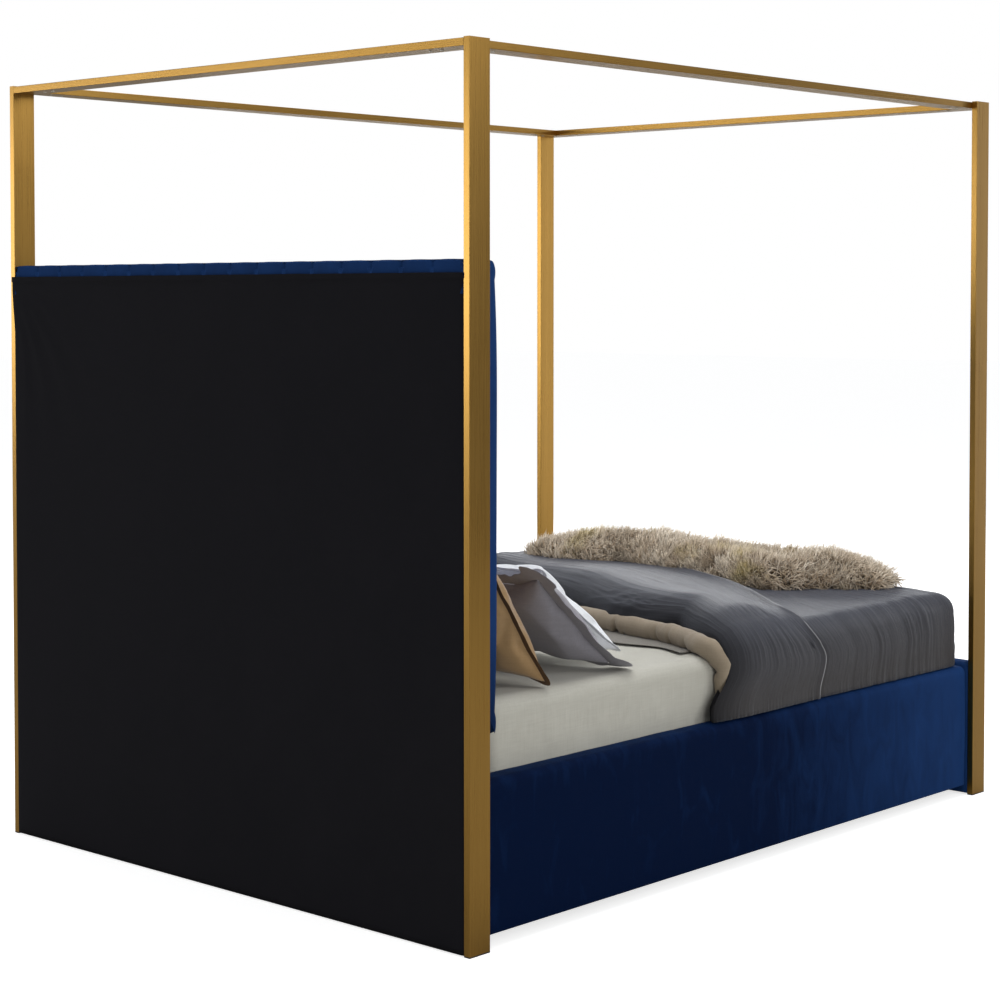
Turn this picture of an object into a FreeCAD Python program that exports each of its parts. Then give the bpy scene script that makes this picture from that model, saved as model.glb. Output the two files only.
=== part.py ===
import FreeCAD, Part
import math
import os

# Four poster canopy bed, queen size, made up with its bedding.
#
# Millimetres, +Z up, origin on the floor under the middle of the bed.
# +Y points to the headboard, and left is -X, as seen from the foot of the bed.

os.makedirs("parts", exist_ok=True)

# overall size
bedWidth = 1706.0
bedLength = 2223.0
bedHeight = 2032.0

# metal tubes of the posts and of the canopy ring
tubeThick = 18.0
tubeWide = 67.0
tubeWall = 1.5
tubeCorner = 1.2
capThick = 2.0
glideHeight = 3.0
ringDrop = 2.0

# headboard
headTop = 1538.0
headFrameThick = 30.0
headFrameWide = 60.0
headPanelThick = 9.0
padThick = 94.0
padBottom = 488.0
channelCount = 17
dustThick = 1.5
dustTop = 1510.0
dustBottom = 3.0
wrapThick = 2.0
wrapBottom = 1470.0

# side rails and footboard
railBottom = 30.0
stripThick = 1.0
railTop = 380.0
railThick = 62.0
coverThick = 3.0
railEdge = 22.0
footTop = 388.0
footThick = 66.0

# slat deck
deckTop = 300.0
slatThick = 18.0
slatWide = 70.0
slatCount = 16
beamWide = 50.0
beamTall = 40.0
ledgerWide = 28.0
ledgerTall = 40.0
ledgerScrews = 6
deckGap = 66.0

# centre legs and their levelling feet
legCount = 3
legSide = 40.0
legBottom = 26.0
stemRadius = 5.0
stemClear = 0.1
padRadius = 22.0
padHeight = 9.0

# bedding
mattressHalf = 770.0
mattressHead = 960.0
mattressTop = 541.0
mattressEdge = 26.0
sheetThick = 1.5
softGap = 0.5
quiltThick = 22.0
duvetThick = 34.0
throwThick = 98.0
throwStart = -700.0
throwLength = 1350.0
throwWide = 370.0

halfWidth = bedWidth / 2
halfLength = bedLength / 2
postInner = halfWidth - tubeThick
ringTop = bedHeight - ringDrop
ringBottom = ringTop - tubeThick
ringInnerX = postInner - tubeWide
ringInnerY = halfLength - tubeWide
frameBack = halfLength - dustThick - wrapThick
frameFront = frameBack - headFrameThick
panelFront = frameFront - headPanelThick
padFront = panelFront - padThick
frameTop = headTop - 8.0
footInner = -halfLength + footThick
railInner = postInner - railThick
slatBottom = deckTop - slatThick
sheetTop = mattressTop + sheetThick
upright = FreeCAD.Vector(0, 0, 1)
alongX = FreeCAD.Vector(1, 0, 0)
alongY = FreeCAD.Vector(0, 1, 0)


# a box between two corners
def block(x0, x1, y0, y1, z0, z1):
    return Part.makeBox(x1 - x0, y1 - y0, z1 - z0, FreeCAD.Vector(x0, y0, z0))


# a round bar from a point along a direction
def rod(radius, length, start, direction):
    return Part.makeCylinder(radius, length, FreeCAD.Vector(*start), direction)


# fillets the edges whose middle point passes the test
def roundEdges(shape, radius, chosen):
    picked = []
    for edge in shape.Edges:
        middle = edge.valueAt((edge.FirstParameter + edge.LastParameter) / 2)
        if chosen(edge, middle):
            picked.append(edge)
    return shape.makeFillet(radius, picked)


# true where a straight edge is parallel to an axis
def runsAlong(edge, axis):
    if edge.Curve.TypeId != "Part::GeomLine":
        return False
    return abs(edge.tangentAt(edge.FirstParameter).dot(axis)) > 0.999


# a rectangular tube, open at the ends that lie on the axis
def tube(x0, x1, y0, y1, z0, z1, axis):
    outer = block(x0, x1, y0, y1, z0, z1)
    outer = roundEdges(outer, tubeCorner, lambda edge, middle: runsAlong(edge, axis))
    wallX = 0 if axis == alongX else tubeWall
    wallY = 0 if axis == alongY else tubeWall
    wallZ = 0 if axis == upright else tubeWall
    return outer.cut(block(x0 + wallX, x1 - wallX, y0 + wallY, y1 - wallY, z0 + wallZ, z1 - wallZ))


# the mirror image across the bed's middle, left to right
def flipX(shape):
    return shape.mirror(FreeCAD.Vector(0, 0, 0), alongX)


# the mirror image across the bed's middle, head to foot
def flipY(shape):
    return shape.mirror(FreeCAD.Vector(0, 0, 0), alongY)


# one shape less every tool
def cutAll(shape, tools):
    return shape.cut(Part.makeCompound(tools))


# writes one node, made of one or more separate solids
def save(name, shapes):
    solids = shapes if isinstance(shapes, list) else [shapes]
    shape = solids[0] if len(solids) == 1 else Part.makeCompound(solids)
    for solid in shape.Solids:
        if not solid.isValid() or solid.Volume <= 0:
            raise ValueError(name + " holds a bad solid")
    shape.exportStep("parts/" + name + ".step")
    print(name, len(shape.Solids), "solids")


# where things are fastened
pinHeight = (ringBottom + ringTop) / 2
pinRadius = 4.0
plugLong = 14.0
postBoltHeights = {"head": (160.0, 760.0, 1360.0), "foot": (110.0, 290.0)}
headBoltY = (frameFront + frameBack) / 2
footBoltY = -halfLength + footThick / 2
boltRadius = 4.0
boltHeadRadius = 8.0
boltHeadTall = 6.0
boltGrip = 30.0


# four posts with the holes for their bolts, and stub pins that hold the canopy ring
def makePosts():
    for end, sign in (("head", 1), ("foot", -1)):
        y0 = sign * halfLength
        y1 = sign * (halfLength - tubeWide)
        low, high = min(y0, y1), max(y0, y1)
        boltY = headBoltY if end == "head" else footBoltY
        right = tube(postInner, halfWidth, low, high, glideHeight, bedHeight - capThick, upright)
        holes = []
        for height in postBoltHeights[end]:
            holes.append(rod(boltRadius, tubeWall, (postInner, boltY, height), alongX))
        holes.append(rod(pinRadius, tubeWall, (postInner, (low + high) / 2, pinHeight), alongX))
        right = cutAll(right, holes)
        save("post_" + end + "_right", right)
        save("post_" + end + "_left", flipX(right))


# a shape at the head right corner, repeated at all four corners
def fourCorners(shape):
    return [shape, flipX(shape), flipY(shape), flipX(flipY(shape))]


# caps that close the posts' tops and nylon glides under them, each with a plug inside the tube
def makePostEnds():
    plugX0 = postInner + tubeWall
    plugX1 = halfWidth - tubeWall
    plugY0 = ringInnerY + tubeWall
    plugY1 = halfLength - tubeWall
    tubeTop = bedHeight - capThick
    cap = block(postInner, halfWidth, ringInnerY, halfLength, tubeTop, bedHeight)
    cap = roundEdges(cap, tubeCorner, lambda edge, middle: runsAlong(edge, upright))
    cap = cap.fuse(block(plugX0, plugX1, plugY0, plugY1, tubeTop - 2.5, tubeTop))
    save("post_top_caps", fourCorners(cap))
    glide = block(postInner, halfWidth, ringInnerY, halfLength, 0, glideHeight)
    glide = roundEdges(glide, tubeCorner, lambda edge, middle: runsAlong(edge, upright))
    glide = glide.fuse(block(plugX0, plugX1, plugY0, plugY1, glideHeight, glideHeight + 20))
    save("post_glides", fourCorners(glide))


plateThick = 6.0
plateWide = 38.0
plateReach = 80.0
screwRadius = 2.5
screwHeadRadius = 4.6
screwHeadTall = 1.6


# the ring round the top: four flat tubes, corner plates inside them, and what fastens them
def makeCanopy():
    plateLow = ringBottom + tubeWall
    plateHigh = plateLow + plateThick
    middleY = (ringInnerY + halfLength) / 2
    middleX = (ringInnerX + postInner) / 2
    slot = block(middleX - plateWide / 2, middleX + plateWide / 2, ringInnerY, ringInnerY + tubeWall,
                 plateLow, plateHigh)
    screwSpots = []
    for reach in (30.0, 65.0):
        screwSpots.append((ringInnerX - reach, middleY))
        screwSpots.append((middleX, ringInnerY - reach))
    tubeHoles = []
    plateHoles = []
    screws = []
    for x, y in screwSpots:
        tubeHoles.append(rod(screwRadius, tubeWall, (x, y, ringBottom), upright))
        plateHoles.append(rod(screwRadius, plateThick, (x, y, plateLow), upright))
        shank = rod(screwRadius, tubeWall + plateThick, (x, y, ringBottom), upright)
        screwHead = rod(screwHeadRadius, screwHeadTall, (x, y, ringBottom - screwHeadTall), upright)
        screws.append(shank.fuse(screwHead))

    head = tube(-postInner, postInner, ringInnerY, halfLength, ringBottom, ringTop, alongX)
    for tool in tubeHoles + [slot]:
        head = head.cut(tool).cut(flipX(tool))
    save("canopy_rail_head", head)
    save("canopy_rail_foot", flipY(head))
    side = tube(ringInnerX, postInner, -ringInnerY, ringInnerY, ringBottom, ringTop, alongY)
    for tool in tubeHoles:
        side = side.cut(tool).cut(flipY(tool))
    save("canopy_rail_right", side)
    save("canopy_rail_left", flipX(side))

    half = plateWide / 2
    armX = block(ringInnerX - plateReach, middleX + half, middleY - half, middleY + half, plateLow, plateHigh)
    armY = block(middleX - half, middleX + half, ringInnerY - plateReach, middleY, plateLow, plateHigh)
    plate = cutAll(armX.fuse(armY).removeSplitter(), plateHoles)
    save("canopy_corner_plates", fourCorners(plate))
    save("canopy_screws", [copy for screw in screws for copy in fourCorners(screw)])

    plugFace = postInner - plugLong
    plug = block(plugFace, postInner, ringInnerY + tubeWall, halfLength - tubeWall,
                 ringBottom + tubeWall, ringTop - tubeWall)
    plug = plug.cut(rod(pinRadius, plugLong, (plugFace, middleY, pinHeight), alongX))
    save("canopy_end_plugs", fourCorners(plug))
    pin = rod(pinRadius, plugLong + tubeWall, (plugFace, middleY, pinHeight), alongX)
    pin = pin.fuse(rod(pinRadius + 2, 3, (postInner + tubeWall, middleY, pinHeight), alongX))
    save("canopy_pins", fourCorners(pin))


# holes through a stile or core for the bolts of one right post, with room for their heads
def postBoltTools(end):
    boltY = headBoltY if end == "head" else footBoltY
    tools = []
    start = postInner - headFrameWide
    for height in postBoltHeights[end]:
        tools.append(rod(boltRadius, headFrameWide, (start, boltY, height), alongX))
        tools.append(rod(boltHeadRadius + 1, headFrameWide - boltGrip, (start, boltY, height), alongX))
    return tools


# timber frame and panel, foam channels, velvet cover and top wrap, and the dust cover behind
def makeHeadboard():
    bottom = 4.0
    stile = block(postInner - headFrameWide, postInner, frameFront, frameBack, bottom, frameTop)
    stile = cutAll(stile, postBoltTools("head"))
    frame = [stile, flipX(stile)]
    railLength = postInner - headFrameWide
    for low in (bottom, 400.0, 780.0, 1160.0, frameTop - headFrameWide):
        frame.append(block(-railLength, railLength, frameFront, frameBack, low, low + headFrameWide))
    save("headboard_frame", frame)
    save("headboard_panel", block(-postInner, postInner, panelFront, frameFront, bottom, frameTop))

    pitch = 2 * postInner / channelCount
    foams = []
    cover = None
    for index in range(channelCount):
        x0 = -postInner + index * pitch
        outer = block(x0, x0 + pitch, padFront, panelFront, padBottom, headTop)
        outer = roundEdges(outer, 16, lambda edge, middle: abs(middle.y - padFront) < 1)
        inner = block(x0 + 2.5, x0 + pitch - 2.5, padFront + 2.5, panelFront, padBottom + 2.5, frameTop)
        inner = roundEdges(inner, 14, lambda edge, middle: abs(middle.y - padFront) < 4)
        foams.append(inner)
        shell = outer.cut(inner)
        cover = shell if cover is None else cover.fuse(shell)
    save("headboard_foam", foams)
    save("headboard_cover", cover.removeSplitter())

    wrap = block(-postInner, postInner, panelFront, frameBack + wrapThick, frameTop, headTop)
    wrap = roundEdges(wrap, 6, lambda edge, middle: middle.z > headTop - 1 and middle.y > frameBack)
    wrap = wrap.fuse(block(-postInner, postInner, frameBack, frameBack + wrapThick, wrapBottom, frameTop))
    save("headboard_top_wrap", wrap.removeSplitter())
    dustBack = block(-postInner, postInner, halfLength - dustThick, halfLength, dustBottom, dustTop)
    save("headboard_dust_cover", dustBack)


# the footboard's timber core and its velvet cover
def makeFootboard():
    bottom = 4.0
    pad = 8.0
    side = postInner - coverThick
    board = block(-side, side, -halfLength + pad, footInner - pad, bottom, footTop - pad)
    tools = postBoltTools("foot")
    save("footboard_core", cutAll(board, tools + [flipX(tool) for tool in tools]))
    cover = block(-postInner, postInner, -halfLength, footInner, bottom, footTop)
    cover = roundEdges(cover, 20, lambda edge, middle: runsAlong(edge, alongX) and middle.z > footTop - 1)
    cover = cover.cut(board)
    holes = []
    for height in postBoltHeights["foot"]:
        hole = rod(boltRadius, coverThick, (postInner - coverThick, footBoltY, height), alongX)
        holes += [hole, flipX(hole)]
    save("footboard_cover", cutAll(cover, holes))


railFoot = footInner + 5.0
railHead = panelFront
bracketThick = 4.0
bracketReach = 60.0
bracketLow = 100.0
bracketHigh = 220.0


# side rail boards, their padded velvet covers and the strips under them
def makeSideRails():
    pad = 10.0
    low = railBottom + stripThick
    core = block(railInner + coverThick, postInner - pad, railFoot + pad, railHead, low, railTop - pad)
    save("side_rail_core_right", core)
    save("side_rail_core_left", flipX(core))
    cover = block(railInner, postInner, railFoot, railHead, low, railTop)

    # the outer face's top edge and its upright edge at the foot
    def softEdge(edge, middle):
        alongTop = runsAlong(edge, alongY) and middle.z > railTop - 1
        atFoot = runsAlong(edge, upright) and middle.y < railFoot + 1
        return middle.x > postInner - 1 and (alongTop or atFoot)

    cover = roundEdges(cover, railEdge, softEdge).cut(core)
    save("side_rail_cover_right", cover)
    save("side_rail_cover_left", flipX(cover))
    strip = block(railInner + 4, postInner - 4, railFoot + 14, railHead - 4, railBottom, low)
    save("rail_bottom_strips", [strip, flipX(strip)])


# battens on the rails' inner faces that carry the slats, and the screws that hold them
def makeLedgers():
    inner = railInner - ledgerWide
    footEnd = footInner + deckGap
    headEnd = panelFront - deckGap
    ledger = block(inner, railInner, footEnd, headEnd, slatBottom - ledgerTall, slatBottom)
    shanks = []
    screws = []
    for index in range(ledgerScrews):
        y = footEnd + (index + 0.5) * (headEnd - footEnd) / ledgerScrews
        height = slatBottom - ledgerTall / 2
        shank = rod(screwRadius, ledgerWide, (inner, y, height), alongX)
        screw = shank.fuse(rod(screwHeadRadius, 3, (inner - 3, y, height), alongX))
        shanks.append(shank)
        screws += [screw, flipX(screw)]
    ledger = cutAll(ledger, shanks)
    save("ledger_right", ledger)
    save("ledger_left", flipX(ledger))
    save("ledger_screws", screws)


# steel angles that join each side rail to the headboard and footboard, with their bolts
def makeCornerBrackets():
    boltHeights = (bracketLow + 25, bracketHigh - 25)
    inward = railInner - bracketReach
    footward = railHead - bracketReach
    leafRail = block(railInner - bracketThick, railInner, footward, railHead, bracketLow, bracketHigh)
    leafHead = block(inward, railInner, railHead - bracketThick, railHead, bracketLow, bracketHigh)
    angle = leafRail.fuse(leafHead).removeSplitter()
    bolts = []
    holes = []
    for height in boltHeights:
        onRail = (railInner - bracketThick, railHead - bracketReach / 2 - 8, height)
        onHead = (railInner - bracketReach / 2 - 8, railHead - bracketThick, height)
        holes.append(rod(3, bracketThick, onRail, alongX))
        holes.append(rod(3, bracketThick, onHead, alongY))
        headRail = (onRail[0] - 4, onRail[1], height)
        headHead = (onHead[0], onHead[1] - 4, height)
        bolts.append(rod(3, bracketThick, onRail, alongX).fuse(rod(6.5, 4, headRail, alongX)))
        bolts.append(rod(3, bracketThick, onHead, alongY).fuse(rod(6.5, 4, headHead, alongY)))
    angle = cutAll(angle, holes)
    shift = FreeCAD.Vector(0, railFoot - 5 + railHead, 0)

    # the head right piece and its copies at the other three corners
    def everyCorner(shape):
        atFoot = flipY(shape)
        atFoot.translate(shift)
        return [shape, flipX(shape), atFoot, flipX(atFoot)]

    save("corner_brackets", everyCorner(angle))
    save("corner_bolts", [copy for bolt in bolts for copy in everyCorner(bolt)])


# bolts from inside the headboard and footboard into threaded nuts in the posts
def makePostBolts():
    bolts = []
    for end in ("head", "foot"):
        boltY = headBoltY if end == "head" else footBoltY
        for height in postBoltHeights[end]:
            seat = postInner - boltGrip
            shank = rod(boltRadius, boltGrip + tubeWall, (seat, boltY, height), alongX)
            cap = rod(boltHeadRadius, boltHeadTall, (seat - boltHeadTall, boltY, height), alongX)
            nut = rod(boltRadius + 3, 8, (postInner + tubeWall, boltY, height), alongX)
            bolt = shank.fuse(cap).fuse(nut)
            bolts += [bolt, flipX(bolt)]
    save("post_bolts", bolts)


legSpots = []
for index in range(legCount):
    legSpots.append(footInner + (index + 1) * (panelFront - footInner) / (legCount + 1))


# the centre beam on its hangers, and three legs with levelling feet
def makeCentre():
    beamLow = slatBottom - beamTall
    beam = block(-beamWide / 2, beamWide / 2, footInner + 4, panelFront - 4, beamLow, slatBottom)
    beam = roundEdges(beam, 3, lambda edge, middle: runsAlong(edge, alongY))
    hollow = beamWide / 2 - 2
    beam = beam.cut(block(-hollow, hollow, footInner + 4, panelFront - 4, beamLow + 2, slatBottom - 2))
    save("centre_beam", beam)
    wall = block(-beamWide / 2 - 20, beamWide / 2 + 20, panelFront - 3, panelFront, beamLow - 3, slatBottom)
    cup = block(-beamWide / 2 - 3, beamWide / 2 + 3, panelFront - 50, panelFront - 3, beamLow - 3, slatBottom)
    cup = cup.cut(block(-beamWide / 2, beamWide / 2, panelFront - 50, panelFront - 3, beamLow, slatBottom))
    hanger = wall.fuse(cup).removeSplitter()
    atFoot = flipY(hanger)
    atFoot.translate(FreeCAD.Vector(0, panelFront + footInner, 0))
    save("beam_hangers", [hanger, atFoot])

    half = legSide / 2
    for index, y in enumerate(legSpots):
        number = str(index + 1)
        leg = block(-half, half, y - half, y + half, legBottom, beamLow - 4)
        leg = roundEdges(leg, 3, lambda edge, middle: runsAlong(edge, upright))
        leg = leg.cut(block(-half + 2, half - 2, y - half + 2, y + half - 2, legBottom + 16, beamLow - 4))
        leg = leg.fuse(block(-beamWide / 2, beamWide / 2, y - 45, y + 45, beamLow - 4, beamLow))
        leg = leg.cut(rod(stemRadius + stemClear, 16, (0, y, legBottom), upright))
        save("centre_leg_" + number, leg)
        nutLow = padHeight + 1.0
        stem = rod(stemRadius, 78, (0, y, 4.0), upright)
        hexagon = Part.makePolygon([
            FreeCAD.Vector(9 * math.cos(turn * math.pi / 3), y + 9 * math.sin(turn * math.pi / 3), nutLow)
            for turn in range(7)])
        nut = Part.Face(hexagon).extrude(FreeCAD.Vector(0, 0, 7))
        save("foot_stem_" + number, stem.fuse(nut))
        pad = rod(padRadius, padHeight, (0, y, 0), upright)
        pad = roundEdges(pad, 2, lambda edge, middle: middle.z > padHeight - 1)
        save("foot_pad_" + number, pad.cut(rod(stemRadius + stemClear, padHeight, (0, y, 3.9), upright)))


# slats across the ledgers and the beam, webbing straps under them, and screws at their ends
def makeSlats():
    reach = railInner - 3
    first = footInner + deckGap + slatWide / 2
    last = panelFront - deckGap - slatWide / 2
    step = (last - first) / (slatCount - 1)
    slats = []
    straps = []
    screws = []
    for index in range(slatCount):
        y = first + index * step
        slat = block(-reach, reach, y - slatWide / 2, y + slatWide / 2, slatBottom, deckTop)
        holes = []
        for side in (-1, 1):
            spot = (side * (railInner - ledgerWide / 2), y, deckTop - 10)
            screw = rod(2.0, 10, spot, upright)
            holes.append(screw)
            screws.append(screw)
        slats.append(cutAll(slat, holes))
    low = slatBottom - 1.2
    for x in (-400.0, 400.0):
        straps.append(block(x - 15, x + 15, first - slatWide / 2, last + slatWide / 2, low, slatBottom))
    save("slats", slats)
    save("slat_straps", straps)
    save("slat_screws", screws)


# a soft block: upright corners well rounded, then its top and bottom edges
def softSlab(x0, x1, y0, y1, z0, z1, edge):
    slab = block(x0, x1, y0, y1, z0, z1)
    slab = roundEdges(slab, edge + 12, lambda e, middle: runsAlong(e, upright))
    return roundEdges(slab, edge, lambda e, middle: middle.z > z1 - 0.5)


mattressFoot = footInner + 15.0
duvetHead = 100.0
flapSide = 770.0
flapEnd = 300.0
flapFoot = -420.0
flapThick = 42.0
quiltHead = 190.0


# the mattress and the fitted sheet stretched over it
def makeMattress():
    low = deckTop + 0.3
    half = mattressHalf
    mattress = softSlab(-half, half, mattressFoot, mattressHead, low, mattressTop, mattressEdge)
    save("mattress", mattress)
    side = half + sheetThick
    foot = mattressFoot - sheetThick
    head = mattressHead + sheetThick
    sheet = softSlab(-side, side, foot, head, low, sheetTop, mattressEdge + sheetThick)
    save("fitted_sheet", sheet.cut(mattress))


# a thin padded quilt over the sheet, its head end rolled back into a thick edge
def makeQuilt():
    low = sheetTop + softGap
    rollRadius = 26.0
    side = mattressHalf - 20
    rollY = quiltHead - rollRadius
    quilt = block(-side, side, mattressFoot + 20, rollY, low, low + quiltThick)
    roll = rod(rollRadius, 2 * side, (-side, rollY, low + rollRadius), alongX)
    save("quilt", quilt.fuse(roll).removeSplitter())


# the duvet: a slab over the quilt, with both sides hanging down to the side rails
def makeDuvet():
    low = sheetTop + softGap + quiltThick + softGap
    high = low + duvetThick
    inner = mattressHalf + sheetThick + 2.5
    outer = inner + 46.0
    foot = footInner + 8.0
    duvet = block(-outer, outer, foot, duvetHead, railTop + 5, high)
    duvet = roundEdges(duvet, 40, lambda edge, middle: runsAlong(edge, upright))
    duvet = roundEdges(duvet, 38, lambda edge, middle: middle.z > high - 0.5)
    duvet = duvet.cut(block(-inner, inner, foot - 60, duvetHead + 60, railTop, low))
    flap = softSlab(-flapSide, flapEnd, flapFoot, duvetHead - 40, high - 20, high + flapThick, 30)
    save("duvet", duvet.fuse(flap).removeSplitter())
    return high


# the fur throw: a low mound of pile laid across the bed near the foot
def makeThrow(low):
    foot = footInner + 20.0
    head = foot + throwWide
    base = low + softGap
    shoulder = base + throwThick * 0.25
    footTopPoint = FreeCAD.Vector(throwStart, foot, shoulder)
    crestPoint = FreeCAD.Vector(throwStart, foot + throwWide * 0.38, base + throwThick)
    headTopPoint = FreeCAD.Vector(throwStart, head, shoulder)
    footPoint = FreeCAD.Vector(throwStart, foot, base)
    headPoint = FreeCAD.Vector(throwStart, head, base)
    profile = [
        Part.Arc(footTopPoint, crestPoint, headTopPoint).toShape(),
        Part.makeLine(headTopPoint, headPoint),
        Part.makeLine(headPoint, footPoint),
        Part.makeLine(footPoint, footTopPoint),
    ]
    mound = Part.Face(Part.Wire(profile)).extrude(FreeCAD.Vector(throwLength, 0, 0))
    save("fur_throw", mound)


# each pillow: width, height, thickness, lean in degrees, where its foot stands, and its middle
pillows = {
    "pillow_tan": (660.0, 400.0, 120.0, 66.0, 783.0, 444.0),
    "pillow_grey": (620.0, 380.0, 100.0, 47.0, 535.0, 434.0),
    "pillow_white": (600.0, 400.0, 100.0, 46.0, 381.0, 410.0),
}


# three pillows on each side, leaning back one against the next
def makePillows():
    for name, (width, height, thick, lean, standsAt, middle) in pillows.items():
        pillow = block(-width / 2, width / 2, 0, thick, 0, height)
        pillow = roundEdges(pillow, thick / 2 - 1, lambda edge, centre: True)
        pillow.translate(FreeCAD.Vector(0, -thick / 2, -thick / 2))
        pillow.rotate(FreeCAD.Vector(0, 0, 0), alongX, lean - 90)
        pillow.translate(FreeCAD.Vector(middle, standsAt, sheetTop + softGap + thick / 2))
        save(name + "_right", pillow)
        save(name + "_left", flipX(pillow))


makePosts()
makePostEnds()
makeCanopy()
makeHeadboard()
makeFootboard()
makeSideRails()
makeLedgers()
makeCornerBrackets()
makePostBolts()
makeCentre()
makeSlats()
makeMattress()
makeQuilt()
makeThrow(makeDuvet())
makePillows()
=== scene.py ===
import math

import bmesh
import bpy
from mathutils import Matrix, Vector, noise


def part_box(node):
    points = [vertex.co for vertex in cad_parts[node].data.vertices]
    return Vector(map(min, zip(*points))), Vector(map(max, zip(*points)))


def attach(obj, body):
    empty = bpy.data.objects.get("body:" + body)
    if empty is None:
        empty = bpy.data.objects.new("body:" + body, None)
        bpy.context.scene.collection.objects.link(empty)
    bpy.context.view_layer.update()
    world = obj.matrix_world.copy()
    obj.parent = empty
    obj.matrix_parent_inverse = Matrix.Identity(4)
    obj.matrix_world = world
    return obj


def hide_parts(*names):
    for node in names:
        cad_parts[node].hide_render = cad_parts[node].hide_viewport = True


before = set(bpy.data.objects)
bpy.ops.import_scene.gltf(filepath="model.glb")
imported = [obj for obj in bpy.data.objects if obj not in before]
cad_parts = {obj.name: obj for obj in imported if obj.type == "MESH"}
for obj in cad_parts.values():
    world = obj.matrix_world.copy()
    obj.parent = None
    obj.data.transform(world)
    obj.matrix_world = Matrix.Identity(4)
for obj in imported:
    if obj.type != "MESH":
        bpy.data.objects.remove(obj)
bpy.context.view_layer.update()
print("frame loaded:", len(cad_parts), "nodes")


class Wire:
    # one output socket in a node tree, with arithmetic that adds Math nodes
    def __init__(self, tree, socket):
        self.tree = tree
        self.socket = socket

    def math(self, operation, first, second=None):
        node = self.tree.nodes.new("ShaderNodeMath")
        node.operation = operation
        for index, value in enumerate((first, second)):
            if isinstance(value, Wire):
                self.tree.links.new(value.socket, node.inputs[index])
            elif value is not None:
                node.inputs[index].default_value = value
        return Wire(self.tree, node.outputs[0])

    def __add__(self, other):
        return self.math("ADD", self, other)

    def __sub__(self, other):
        return self.math("SUBTRACT", self, other)

    def __rsub__(self, other):
        return self.math("SUBTRACT", other, self)

    def __mul__(self, other):
        return self.math("MULTIPLY", self, other)

    def clamped(self):
        return self.math("MAXIMUM", self.math("MINIMUM", self, 1.0), 0.0)

    def wave(self):
        return self.math("SINE", self)

    def other(self, name):
        # another output of the same node
        return Wire(self.tree, self.socket.node.outputs[name])


class Nodes:
    # adds nodes to one tree: every node comes from node()
    def __init__(self, tree, prefix):
        self.tree = tree
        self.prefix = prefix

    def node(self, kind, settings=None, sockets=None, out=0):
        node = self.tree.nodes.new(self.prefix + kind)
        for key, value in (settings or {}).items():
            setattr(node, key, value)
        for key, value in (sockets or {}).items():
            self.plug(node.inputs[key], value)
        return Wire(self.tree, node.outputs[out])

    def plug(self, socket, value):
        if isinstance(value, Wire):
            self.tree.links.new(value.socket, socket)
        elif isinstance(value, (tuple, list)) and socket.type == "RGBA" and len(value) == 3:
            socket.default_value = (*value, 1)
        else:
            socket.default_value = value


class Finish(Nodes):
    # a material being built; shade() sets its shader
    def __init__(self, name):
        self.material = bpy.data.materials.new(name)
        self.material.use_nodes = True
        super().__init__(self.material.node_tree, "ShaderNode")
        self.shader = self.tree.nodes["Principled BSDF"]
        self.place = self.node("TexCoord", out="Object")

    def stretched(self, scale, source=None):
        # the object's own coordinates, scaled along each axis
        return self.node("Mapping", None, {"Vector": source or self.place, "Scale": scale})

    def noise(self, scale, detail=3.0, rough=0.5, where=None, distort=0.0):
        sockets = {"Vector": where or self.place, "Scale": scale, "Detail": detail, "Roughness": rough,
                   "Distortion": distort}
        return self.node("TexNoise", None, sockets)

    def cells(self, scale, where=None):
        return self.node("TexVoronoi", None, {"Vector": where or self.place, "Scale": scale})

    def axes(self, where=None):
        # the coordinates' three parts
        x = self.node("SeparateXYZ", None, {0: where or self.place})
        return x, x.other("Y"), x.other("Z")

    def mix(self, factor, first, second):
        return self.node("Mix", {"data_type": "RGBA"}, {0: factor, 6: first, 7: second}, 2)

    def bump(self, height, strength, distance):
        return self.node("Bump", None, {"Height": height, "Strength": strength, "Distance": distance})

    def shade(self, sockets):
        for key, value in sockets.items():
            self.plug(self.shader.inputs[key], value)
        return self.material


def weave(finish, threads):
    # over-and-under threads, as a height between -1 and 1
    x, y, z = finish.axes()
    turn = threads * math.tau
    across = (x * turn).wave()
    down = ((y + z) * turn).wave()
    return across * down


goldLook = {"brown": (0.27, 0.145, 0.030), "warm": (0.475, 0.275, 0.068), "rough": 0.29}


def brushedGold(name, scale):
    # brushed brass-plated steel; scale is small along the brushing
    f = Finish(name)
    hair = f.noise(1.0, 4.0, 0.65, f.stretched(scale))
    band = f.noise(1.0, 2.0, 0.5, f.stretched([part * 0.06 for part in scale]))
    cloud = f.noise(3.0, 2.0)
    tone = f.mix((hair * 0.55 + band * 0.45).clamped(), goldLook["brown"], goldLook["warm"])
    tone = f.mix((cloud * 1.6 - 0.5).clamped() * 0.35, tone, (0.42, 0.25, 0.07))
    rough = hair * 0.16 + cloud * 0.08 + (goldLook["rough"] - 0.12)
    return f.shade({"Base Color": tone, "Metallic": 1.0, "Roughness": rough,
                    "Normal": f.bump(hair, 0.10, 0.0004)})


def zincSteel():
    f = Finish("zincSteel")
    grain = f.noise(900.0, 3.0)
    tone = f.mix(f.noise(40.0), (0.50, 0.50, 0.48), (0.66, 0.66, 0.64))
    return f.shade({"Base Color": tone, "Metallic": 1.0, "Roughness": grain * 0.2 + 0.25,
                    "Normal": f.bump(grain, 0.1, 0.0002)})


def powderCoat():
    f = Finish("blackPowderCoat")
    grain = f.cells(900.0)
    return f.shade({"Base Color": f.mix(f.noise(60.0), (0.016, 0.016, 0.018), (0.03, 0.03, 0.033)),
                    "Roughness": f.noise(300.0) * 0.2 + 0.45, "Normal": f.bump(grain, 0.25, 0.0003)})


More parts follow.
